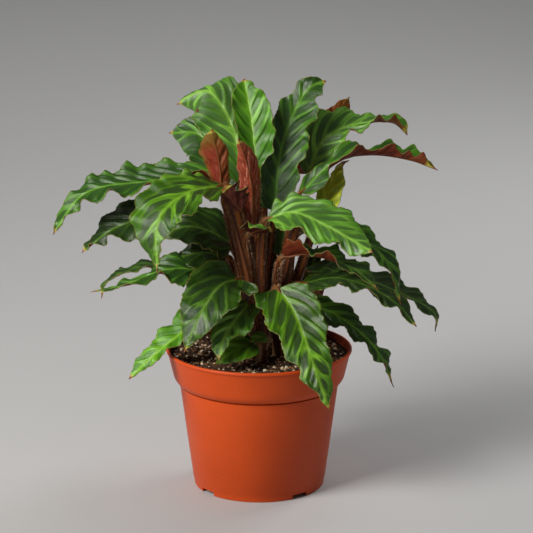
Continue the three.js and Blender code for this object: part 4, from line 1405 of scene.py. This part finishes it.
        # Waves grow towards the margin. Small frills, pleats and the rib's furrow follow the veins.
        height = arch + rise * away**self.wave_power
        frill = self.frill * leaf.wave * ends * away**5
        height += frill * np.sin(TURN * (vein / self.frill_length + 0.31 * number + phase))
        pleat = self.pleat * ends * np.sin(np.pi * np.clip(away, 0, 1)) ** 0.8
        drift = 0.35 * np.sin(run / 9.1 + number) + 0.3 * np.sin(reach / 3.7)
        band = leaf.tone.value.band
        vein = vein + (np.where(c > 0, 0, 0.5 * band) + self.vein_offset * number)
        turn = TURN * vein / band
        height += pleat * (1.2 * np.cos(turn + drift) + 0.7 * np.cos(2 * turn + drift))
        height -= self.furrow * np.exp(-((reach / self.furrow_width) ** 2)) * (1 - s)
        bent = point + side * (np.sign(c) * out)[:, None] + up * height[:, None]
        tip = (1 - s) * length * self.told_drip / leaf.drip
        return bent, {
            "across": c, "along": s, "reach": reach, "vein": vein, "edge": half - reach, "tip": tip
        }

    def build(self) -> Piece:
        """Model and dress the blade: a bent grid that gets its thickness, underside and margin.

        Returns:
            The blade.
        """
        rows = max(self.least_rows, round(Line(self.leaf.rib).length / self.row_step))
        piece, x, s = lay_grid(f"blade_{self.leaf.name}", 2 * self.half_columns, rows)
        c = -np.sign(x) * np.abs(x) ** self.column_power
        points, numbers = self.surface(c, s)
        place(piece, points)
        tell(piece, **numbers)
        smooth(piece)
        wear(piece, self.leaf.tone.value, self.leaf.underside.value, MARGIN)
        apply_modifier(
            piece, "SOLIDIFY", thickness=self.thickness * MM, offset=0.0, use_even_offset=False,
            material_offset=1, material_offset_rim=2,
        )
        return piece


# ---------- shoots ----------


class ShootPlace(Enum):
    """Where each shoot stands in the soil, in millimetres."""

    MIDDLE = (-1.0, 1.0)
    WEST = (-17.0, 0.0)
    SOUTH = (0.0, -17.0)
    EAST = (16.0, 1.0)
    NORTH = (0.0, 19.0)


@dataclass
class Shoot:
    """One shoot: its stalks, each going on as the rib under its blade, their hairs and sheaths.

    The stalks start from a small ring in the soil's hole. The rise is how long a stalk stays
    upright, the knee how far before its blade it turns, and the clasp how much thicker the stalk
    is where it clasps the inner ones. Stalks that end above least_winged have thin wings, and
    thickness is that of the wings and of the sheaths.
    """

    where: ShootPlace
    leaves: list[tuple[int, Leaf]]
    soil_level: float = 106.0
    hole_depth: float = 15.0
    gap: float = 0.3
    ring: float = 2.6
    start: float = 7.0
    rise: float = 0.4
    least_rise: float = 24.0
    knee: float = 12.0
    knee_share: float = 0.2
    radius: float = 2.0
    clasp: float = 1.5
    neck_at: float = 0.93
    neck_spread: float = 0.05
    sides: int = 14
    step: float = 2.2
    rib_marks: int = 36
    rib_end: float = 0.97
    rib_radius: float = 0.16
    hair_gap: float = 0.11
    hair_length: Pair = (1.3, 2.7)
    hair_root: float = 0.13
    hair_sunk: float = 0.15
    hair_span: Pair = (0.12, 0.99)
    hair_lean: Pair = (0.1, 0.6)
    hair_stray: float = 0.25
    sheaths: int = 4
    sheath_grid: tuple[int, int] = (14, 16)
    sheath_turn: float = 2.4
    sheath_sunk: float = 4.0
    sheath_radius: float = 4.6
    sheath_growth: float = 0.7
    sheath_flare: float = 1.4
    sheath_height: Pair = (17.0, 9.0)
    sheath_wrap: float = 1.15
    least_winged: float = 165.0
    wing_grid: tuple[int, int] = (16, 40)
    wing_gap: float = 0.1
    wing_share: float = 0.78
    wing_flare: float = 2.4
    wing_wrap: Pair = (1.95, 1.35)
    thickness: Pair = (0.45, 0.5)

    @property
    def name(self) -> str:
        """The shoot's name, as in the leaves' table."""
        return self.where.name.lower()

    def stalk_line(self, leaf: Leaf) -> Array:
        """The stalk's centre line, from in the soil to its blade, in millimetres.

        Args:
            leaf: the leaf that the stalk carries.

        Returns:
            The line's points, from the foot up.
        """
        x, y = self.where.value
        (end,), (along,) = Line(leaf.rib).read(np.array([0.0]))
        turn = math.atan2(end[1] - y, end[0] - x)
        bottom = self.soil_level - self.hole_depth + self.gap + self.start
        foot = np.array([x + self.ring * math.cos(turn), y + self.ring * math.sin(turn), bottom])
        span = float(np.linalg.norm(end - foot))
        rise = foot + np.array([0, 0, max(self.least_rise, self.rise * span)])
        arrive = end - along * min(self.knee, self.knee_share * span)
        t = np.linspace(0, 1, max(10, round(span / self.step)))[:, None]
        u = 1 - t
        return u**3 * foot + 3 * u**2 * t * rise + 3 * u * t**2 * arrive + t**3 * end

    def tube(self, name: str, line: Array, radii: Array, up: Array) -> Piece:
        """Wrap a grid round a line and close both its ends.

        Args:
            name: the piece's name.
            line: the centre line's points.
            radii: the radius at each point.
            up: the number stored for each point, 0 at the foot and 1 at the blade.

        Returns:
            The closed tube.
        """
        rows = len(line) - 1
        piece, x, s = lay_grid(name, self.sides, rows)
        row = np.rint(s * rows).astype(int)
        tangent = unit(np.gradient(line, axis=0))
        across = np.zeros_like(line)
        helper = np.array([1.0, 0.0, 0.0])
        for k, direction in enumerate(tangent):
            helper = unit(helper - direction * float(helper @ direction))
            across[k] = helper
        other = np.cross(tangent, across)
        angle = np.pi * (1 - x)
        ring = across[row] * np.cos(angle)[:, None] + other[row] * np.sin(angle)[:, None]
        size = np.array(radii)
        size[0] = size[-1] = 0.0
        place(piece, line[row] + ring * size[row][:, None])
        tell(piece, up=up[row], around=(1 - x) / 2)
        pick(piece)
        bpy.ops.object.mode_set(mode="EDIT")
        bpy.ops.mesh.select_all(action="SELECT")
        bpy.ops.mesh.remove_doubles(threshold=WELD)
        bpy.ops.object.mode_set(mode="OBJECT")
        smooth(piece)
        return piece

    def stalk(self, number: int, leaf: Leaf) -> tuple[Piece, Array, Array]:
        """Model one stalk with the rib that it becomes under its blade.

        Args:
            number: the leaf's place in the table.
            leaf: the leaf that it carries.

        Returns:
            The tube, and the stalk's own centre line and radii, without the rib.
        """
        line = self.stalk_line(leaf)
        t = np.linspace(0, 1, len(line))
        slim = min(1.0, 0.35 + leaf.width / 60)
        neck = np.exp(-(((t - self.neck_at) / self.neck_spread) ** 2))
        clasp = self.clasp * (1 - blend_step(0.3, 0.82, t)) * blend_step(0.0, 0.3, t)
        wing = leaf.wing * blend_step(0.2, 0.5, t) * (1 - blend_step(0.9, 1.0, t))
        taper = 1.25 - 0.42 * blend_step(0.05, 0.75, t) + 0.08 * neck
        radii = slim * (self.radius * taper + clasp + wing)

        # The rib thins towards the tip and is sunk into the blade's underside.
        s = np.linspace(0, self.rib_end, self.rib_marks)[1:]
        point, _, up, _ = Blade(leaf, number).axes(s)
        least = self.rib_radius
        thin = least + (radii[-1] - least) * (1 - s) ** 1.4 * (0.45 + 0.55 * np.exp(-s / 0.08))
        sunk = blend_step(0.0, 0.06, s) * (0.85 * thin + 0.28)
        whole = np.vstack([line, point - up * sunk[:, None]])
        ups = np.concatenate([t, 1.0 + s])
        tube = self.tube(f"stalk_{leaf.name}", whole, np.concatenate([radii, thin]), ups)
        wear(tube, leaf.stalk.value)
        return tube, line, radii

    def hairs(
        self, line: Array, radii: Array, draw: np.random.Generator
    ) -> tuple[Array, Array]:
        """Stand fine three-sided hairs on one stalk.

        Args:
            line: the stalk's centre line.
            radii: its radius at each point.
            draw: the seeded draw.

        Returns:
            The hairs' points, four for each hair, and their triangles.
        """
        run = run_along(line)
        count = int(run[-1] / self.hair_gap)
        where = draw.uniform(*self.hair_span, count) * run[-1]
        along = unit(read_rows(where, run, unit(np.gradient(line, axis=0))))
        out = square_to(draw.normal(size=(count, 3)), along)
        size = np.interp(where, run, radii)[:, None]
        root = read_rows(where, run, line) + out * (size - self.hair_sunk)
        lean = out + along * draw.uniform(*self.hair_lean, (count, 1))
        lean = unit(lean + self.hair_stray * draw.normal(size=(count, 3)))
        length = draw.uniform(*self.hair_length, (count, 1))
        beside = np.cross(lean, along)
        corners = [
            root + self.hair_root * (along * math.cos(turn) + beside * math.sin(turn))
            for turn in (0, 2.1, 4.2)
        ]
        tips = root + lean * (length + self.hair_sunk)
        points = np.stack([*corners, tips], axis=1).reshape(-1, 3)
        base = 4 * np.arange(count)[:, None]
        faces = np.concatenate([base + np.array(f) for f in ((0, 1, 3), (1, 2, 3), (2, 0, 3))])
        return points, faces

    def wings(self, leaf: Leaf, line: Array, radii: Array) -> Piece:
        """Model the thin wings along a stalk's lower part, which clasp the stalks inside it.

        Args:
            leaf: the leaf that the stalk carries.
            line: the stalk's centre line.
            radii: its radius at each point.

        Returns:
            The closed strip.
        """
        piece, c, s = lay_grid(f"wings_{leaf.name}", *self.wing_grid)
        at = s * self.wing_share * (len(line) - 1)
        marks = np.arange(len(line))
        along = unit(read_rows(at, marks, unit(np.gradient(line, axis=0))))
        outward = line[-1] - line[0]
        outward = square_to(np.array([outward[0], outward[1], 0.0]) + 1e-6, along)
        side = np.cross(along, outward)
        turn = c * (self.wing_wrap[0] - self.wing_wrap[1] * s**2)
        flare = self.wing_flare * np.abs(c) ** 3 * (1 + 0.5 * np.sin(9 * s + 3 * c)) * (1 - s**3)
        radius = np.interp(at, marks, radii) + self.wing_gap + flare
        spread = outward * (radius * np.cos(turn))[:, None] + side * (radius * np.sin(turn))[:, None]
        place(piece, read_rows(at, marks, line) + spread)
        return self.shell(piece, StalkTone.WINGS, 0.15 + 0.6 * s, 0.35 * c)

    def shell(self, piece: Piece, tone: StalkTone, up: Array, turn: Array, offset: float = 0.0) -> Piece:
        """Thicken a bent sheet, whose finish takes it to be this far up a stalk and round it.

        Args:
            piece: the sheet.
            tone: its finish.
            up: how far up the stalk each vertex is.
            turn: how far round it, from the middle.
            offset: the way that it grows, -1 against its faces and 0 both ways.

        Returns:
            The closed sheet.
        """
        tell(piece, up=up, around=0.5 + turn)
        thickness = self.thickness[tone is StalkTone.SHEATH] * MM
        apply_modifier(piece, "SOLIDIFY", thickness=thickness, offset=offset)
        smooth(piece)
        wear(piece, tone.value)
        return piece

    def sheath(self, index: int) -> Piece:
        """Model one papery sheath, of this index round the shoot, that clasps its foot.

        Args:
            index: the sheath's number, 0 for the innermost.

        Returns:
            The closed sheath.
        """
        x, y = self.where.value
        piece, c, s = lay_grid(f"sheath_{self.name}_{index}", *self.sheath_grid)
        height = self.sheath_height[0] + self.sheath_height[1] * ((index * GOLDEN) % 1)
        angle = self.sheath_turn * index + x + c * self.sheath_wrap * np.cos(0.5 * np.pi * s**1.6)
        radius = self.sheath_radius + self.sheath_growth * index / self.sheaths
        radius = radius + self.sheath_flare * s**2 + 0.25 * np.cos(6 * c)
        foot = self.soil_level - self.sheath_sunk
        spots = [x + radius * np.cos(angle), y + radius * np.sin(angle), foot + height * s]
        place(piece, np.stack(spots, axis=1))
        return self.shell(piece, StalkTone.SHEATH, 0.05 + 0.35 * s, 0.25 * c, offset=-1.0)

    def build(self) -> list[Piece]:
        """Model and dress the stalks, which stand for the shoot's solid, the hairs and the sheaths.

        Returns:
            The stalks, the hairs, and the sheaths with the wings.
        """
        draw = np.random.default_rng(sum(map(ord, self.name)))
        tubes, wings, points, faces, count = [], [], [], [], 0
        for number, leaf in self.leaves:
            tube, line, radii = self.stalk(number, leaf)
            tubes.append(tube)
            if leaf.stalk is StalkTone.RED and line[-1][2] > self.least_winged:
                wings.append(self.wings(leaf, line, radii))
            hair_points, hair_faces = self.hairs(line, radii, draw)
            points.append(hair_points)
            faces.append(hair_faces + count)
            count += len(hair_points)
        stalks = joined(tubes, f"stalks_{self.name}")
        hair = mesh_piece(f"hairs_{self.name}", np.concatenate(points), np.concatenate(faces))
        tell(hair, out=(np.arange(count) % 4 == 3).astype(float))
        wear(hair, HAIR)
        shells = [self.sheath(k) for k in range(self.sheaths)] + wings
        return [stalks, hair, joined(shells, f"sheaths_{self.name}")]


# ---------- pot ----------


@dataclass
class Pot:
    """A moulded nursery pot: rolled lip, deep collar, tapering wall, notched foot and drain holes."""

    height: float = 114.6
    lip_radius: float = 75.0
    lip_height: float = 2.8
    lip_proud: float = 1.3
    collar_foot: Pair = (69.4, 91.6)
    shoulder: Pair = (64.5, 86.6)
    base_radius: float = 53.0
    wall: float = 1.5
    channel: float = 4.0
    middle_radius: float = 30.0
    foot_ring: float = 1.9
    sides: int = 160
    holes: int = 8
    hole_radius: float = 4.0
    hole_circle: float = 41.0
    hole_sides: int = 32
    drill_middle: float = 5.0
    drill_length: float = 20.0
    notches: int = 4
    notch_width: float = 14.5
    notch_height: float = 3.7
    notch_depth: float = 12.0
    first_notch: float = -51.5
    ring_height: float = 7.0
    sharp: float = 38.0

    def profile(self) -> list[Pair]:
        """The section from the middle of the underside, up the outside and back down inside.

        Returns:
            Each corner's radius and height, in millimetres.
        """
        collar_top = self.lip_radius - self.lip_proud
        lip_foot = self.height - self.lip_height
        base, wall = self.base_radius, self.wall
        foot_r, foot_z = self.collar_foot
        neck_r, neck_z = self.shoulder
        ring = base + (neck_r - base) / neck_z * self.ring_height
        underside = [
            (self.middle_radius, 0),
            (self.middle_radius + 2, self.channel),
            (base - self.foot_ring, self.channel),
            (base - self.foot_ring, 0),
            (base - 1.0, 0),
            (base - 0.35, 0.5),
        ]
        body = [
            (ring - 0.35, self.ring_height - 0.5),
            (ring, self.ring_height),
            (neck_r - 0.3, neck_z - 1.6),
            (neck_r - 1.7, neck_z - 1.4),
            (neck_r - 1.6, neck_z + 0.1),
            (neck_r + 1.1, neck_z + 0.1),
            (neck_r + 1.6, neck_z + 0.5),
        ]
        collar = [
            (foot_r - 1.9, foot_z - 2.7),
            (foot_r - 0.7, foot_z - 0.8),
            (foot_r, foot_z + 1.2),
            (collar_top - 0.1, lip_foot - 1.2),
        ]
        lip = [
            (collar_top + 0.25, lip_foot + 0.05),
            (self.lip_radius - 0.15, lip_foot + 0.4),
            (self.lip_radius, lip_foot + 1.0),
            (self.lip_radius - 0.05, self.height - 0.9),
            (self.lip_radius - 0.55, self.height - 0.25),
            (self.lip_radius - 1.2, self.height),
            (self.lip_radius - 2.0, self.height - 0.15),
            (self.lip_radius - 2.6, self.height - 0.9),
        ]
        inside = [
            (collar_top - wall - 0.05, lip_foot - 1.0),
            (foot_r - wall, foot_z + 1.0),
            (neck_r - wall - 0.8, neck_z + 0.6),
            (base - wall, self.channel + wall),
            (self.middle_radius + 3, self.channel + wall),
            (self.middle_radius, wall),
        ]
        return underside + body + collar + lip + inside

    def build(self) -> Piece:
        """Turn the section, cut notches and holes, and give the inside a duller plastic.

        Returns:
            The pot.
        """
        pot = turned("pot_shell", self.sides, self.profile())
        self.cut(pot)
        pick(pot)
        bpy.ops.object.shade_smooth_by_angle(angle=math.radians(self.sharp))
        wear(pot, TERRACOTTA, POT_INSIDE)
        for face in pot.data.polygons:
            inward = face.center.x * face.normal.x + face.center.y * face.normal.y < 0
            face.material_index = int(inward and face.center.z > 2 * self.channel * MM)
        return pot

    def spot(self, k: int, count: int, radius: float, height: float) -> tuple[float, Point]:
        """The turn and the place, in metres, of one of several things evenly round the pot."""
        turn = math.radians(self.first_notch + 360 * k / count)
        return turn, (radius * MM * math.cos(turn), radius * MM * math.sin(turn), height * MM)

    def cut(self, pot: Piece) -> None:
        """Cut the foot's notches and the drain holes with tools that are then deleted.

        Args:
            pot: the whole pot.
        """
        tools = []
        for k in range(self.notches):
            turn, at = self.spot(k, self.notches, self.base_radius, 0)
            bpy.ops.mesh.primitive_cube_add(size=1, location=at, rotation=(0, 0, turn))
            tool = bpy.context.object
            tool.scale = (self.notch_depth * MM, self.notch_width * MM, 2 * self.notch_height * MM)
            tools.append(tool)
        for k in range(self.holes):
            _, at = self.spot(k, self.holes, self.hole_circle, self.drill_middle)
            radius, length = self.hole_radius * MM, self.drill_length * MM
            bpy.ops.mesh.primitive_cylinder_add(
                vertices=self.hole_sides, radius=radius, depth=length, location=at
            )
            tools.append(bpy.context.object)
        for tool in tools:
            apply_modifier(pot, "BOOLEAN", operation="DIFFERENCE", object=tool, solver="EXACT")
        pick(*tools)
        bpy.ops.object.delete()


# ---------- soil ----------


@dataclass(frozen=True)
class Grain:
    """One kind of loose grain on the bed.

    sizes are the least and the greatest radius, and flat is how tall a grain is for its width.
    None lies nearer to the axis than inner. power is how much the small ones outnumber the large
    ones, and seed is what the draw starts from.
    """

    name: str
    finish: Ground
    count: int
    sizes: Pair
    flat: float
    seed: int
    inner: float
    power: float


GRAINS = (
    Grain("peat_crumbs", Ground.CRUMB, 2600, (0.6, 2.9), 0.7, 5, 6, 2.0),
    Grain("bark_chips", Ground.BARK, 620, (0.7, 2.6), 0.45, 8, 10, 2.0),
    Grain("perlite_grains", Ground.PERLITE, 560, (0.6, 2.2), 0.8, 13, 12, 1.5),
)


@dataclass
class Soil:
    """The soil: a rough bed that fills the pot, with peat crumbs, bark chips and perlite on it.

    The bed has a low mound in the middle and a bank along the wall. Grains are copies of a few
    lumps. They lie within the outermost share of the bed and stand up to raised of their height
    out of it.
    """

    level: float = 106.0
    radius: float = 71.2
    mound: float = 1.5
    bank: float = 2.6
    rings: int = 56
    sides: int = 160
    lumps: int = 8
    lump_radii: Pair = (0.62, 1.2)
    outermost: float = 0.985
    raised: float = 0.45

    def height_at(self, x: float, y: float) -> float:
        """The bed's height at a place: a mound, a bank along the wall and lumps.

        Args:
            x: the place's first coordinate, in millimetres.
            y: its second one.

        Returns:
            The height in millimetres.
        """
        spread = math.hypot(x, y) / self.radius
        coarse = noise.noise(Vector((x * 0.09, y * 0.09, 3.1)))
        fine = noise.noise(Vector((x * 0.35, y * 0.35, 7.7)))
        return self.level + self.mound * (1 - spread) + 0.9 * coarse + 0.5 * fine + self.bank * spread**8

    def bed(self) -> Piece:
        """Model the bed as a closed body with a rough top.

        Returns:
            The bed.
        """
        walls = [(52.0, 6.2), (62.2, 85.0), (67.2, 91.0), (self.radius, self.level)]
        tops = [(self.radius * (1 - k / self.rings), self.level) for k in range(1, self.rings)]
        bed = turned("soil_bed", self.sides, walls + tops)
        for vertex in bed.data.vertices:
            x, y, z = vertex.co / MM
            if z > self.level - 0.01:
                vertex.co.z = self.height_at(x, y) * MM
        tell(bed, shade=np.array([0.5 + 0.5 * noise.noise(v.co * 900) for v in bed.data.vertices]))
        smooth(bed)
        wear(bed, Ground.PEAT.value)
        return bed

    def strewn(self, grain: Grain) -> Piece:
        """Strew copies of a few rough lumps over the bed.

        Args:
            grain: the kind of grain.

        Returns:
            All the grains as one piece.
        """
        draw = np.random.default_rng(grain.seed)
        pick()
        bpy.ops.mesh.primitive_ico_sphere_add(subdivisions=1, radius=1)
        ball = bpy.context.object
        shape = np.array([v.co for v in ball.data.vertices])
        faces = np.array([p.vertices for p in ball.data.polygons])
        bpy.ops.object.delete()
        lumps = [shape * draw.uniform(*self.lump_radii, (len(shape), 1)) for _ in range(self.lumps)]
        count, (least, greatest) = grain.count, grain.sizes
        points, shades = np.empty((count, len(shape), 3)), np.empty((count, len(shape)))
        for k in range(count):
            size = least + (greatest - least) * draw.random() ** grain.power
            stretch = np.array([1.0, draw.uniform(0.6, 1.0), grain.flat * draw.uniform(0.7, 1.2)])
            lump = lumps[k % len(lumps)] * stretch * size
            turn, tilt = draw.uniform(0, TURN), draw.normal() * 0.5
            ct, st, cl, sl = math.cos(turn), math.sin(turn), math.cos(tilt), math.sin(tilt)
            spin = np.array([[ct, -st, 0], [st, ct, 0], [0, 0, 1]])
            lean = np.array([[1, 0, 0], [0, cl, -sl], [0, sl, cl]])
            nearest = (grain.inner / self.radius) ** 2
            far = math.sqrt(draw.uniform(nearest, self.outermost)) * (self.radius - greatest)
            bearing = draw.uniform(0, TURN)
            x, y = far * math.cos(bearing), far * math.sin(bearing)
            z = self.height_at(x, y) + size * grain.flat * draw.uniform(0.0, self.raised)
            points[k] = lump @ (spin @ lean).T + np.array([x, y, z])
            shades[k] = draw.random()
        all_faces = (faces[None] + len(shape) * np.arange(count)[:, None, None]).reshape(-1, 3)
        piece = mesh_piece(grain.name, points.reshape(-1, 3), all_faces)
        tell(piece, shade=shades.ravel())
        wear(piece, grain.finish.value)
        return piece


# ---------- studio ----------


@dataclass(frozen=True)
class Light:
    """A square soft light, hung at a place and aimed at another, in metres and watts."""

    name: str
    at: Point
    aim: Point
    size: float
    power: float
    colour: Colour = (1.0, 1.0, 1.0)

    def hang(self) -> None:
        """Hang the light. Only the key light is mirrored in glossy faces."""
        turn = (Vector(self.aim) - Vector(self.at)).to_track_quat("-Z", "Y").to_euler()
        bpy.ops.object.light_add(type="AREA", location=self.at, rotation=turn)
        lamp = take(self.name)
        lamp.data.size = self.size
        lamp.data.energy = self.power
        lamp.data.color = self.colour
        lamp.visible_glossy = self.name == "key"


LIGHTS = (
    Light("key", (-1.15, -0.9, 1.15), (0, 0, 0.17), 0.8, 40, (1.0, 0.97, 0.93)),
    Light("rim", (1.0, 0.95, 1.2), (0, 0, 0.22), 0.7, 13),
    Light("back", (0, 2.4, 1.9), (0, 2.4, 0), 2.4, 20),
)


@dataclass
class Studio:
    """The plain floor, the soft lights and the camera, in metres."""

    floor_size: float = 12.0
    floor_colour: Colour = (0.44, 0.44, 0.44)
    camera_at: Point = (0.006, -1.8, 0.651)
    camera_tilt: float = 75.37
    lens: float = 157.0
    sensor: float = 36.0
    world_colour: Colour = (1.0, 0.98, 0.95)
    world_light: float = 0.13

    def build(self) -> None:
        """Lay the floor, hang the lights and set up the camera."""
        pick()
        bpy.ops.mesh.primitive_plane_add(size=self.floor_size)
        floor = take("floor")
        floor.data.materials.append(Paint("floor_pale", self.floor_colour).finish(Roughness=0.7))
        for light in LIGHTS:
            light.hang()
        world = bpy.data.worlds.new("studio")
        bpy.context.scene.world = world
        world.use_nodes = True
        background = world.node_tree.nodes["Background"]
        background.inputs["Color"].default_value = (*self.world_colour, 1.0)
        background.inputs["Strength"].default_value = self.world_light
        bpy.ops.object.camera_add(location=self.camera_at, rotation=(math.radians(self.camera_tilt), 0, 0))
        camera = bpy.context.object
        camera.data.lens = self.lens
        camera.data.sensor_width = self.sensor
        bpy.context.scene.camera = camera
        bpy.context.scene.view_settings.view_transform = "Standard"


# ---------- the plant ----------


def seat(piece: Piece, slot: str, *nodes: str) -> None:
    """Let a piece ride on the part and stand for CAD nodes, if any.

    Args:
        piece: the finished piece.
        slot: not used.
        nodes: the CAD nodes that it replaces.
    """
    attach(piece, ROOT)
    if nodes:
        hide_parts(*nodes)
    LOG.info("%s: %d faces", piece.name, len(piece.data.polygons))


def leaf_slot(leaf: Leaf) -> str:
    """The slot name of a leaf.

    Args:
        leaf: the leaf's row in the table.

    Returns:
        The slot's name.
    """
    if leaf.underside is Underside.YOUNG_RED:
        return "red_leaf"
    young = ("03_bright_upright", "07_young_rolled", "25_small_at_soil")
    return "young_leaf" if leaf.name in young else "leaf"


def main() -> None:
    """Build the pot, the soil, the shoots and the leaves, then the studio."""
    logging.basicConfig(level=logging.INFO, format="%(message)s")
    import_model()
    seat(Pot().build(), "pot", "pot")
    soil = Soil()
    seat(soil.bed(), "soil", "soil")
    for grain in GRAINS:
        seat(soil.strewn(grain), "soil")
    for where in ShootPlace:
        name = where.name.lower()
        leaves = [(k, leaf) for k, leaf in enumerate(LEAVES) if leaf.shoot == name]
        stalks, *rest = Shoot(where, leaves).build()
        seat(stalks, "stalk", f"shoot_{name}")
        for piece in rest:
            seat(piece, "stalk")
    for number, leaf in enumerate((*LEAVES, FRILLED)):
        nodes = () if leaf is FRILLED else (f"leaf_{leaf.name}",)
        seat(Blade(leaf, number).build(), leaf_slot(leaf), *nodes)
    Studio().build()


if __name__ == "__main__":
    main()
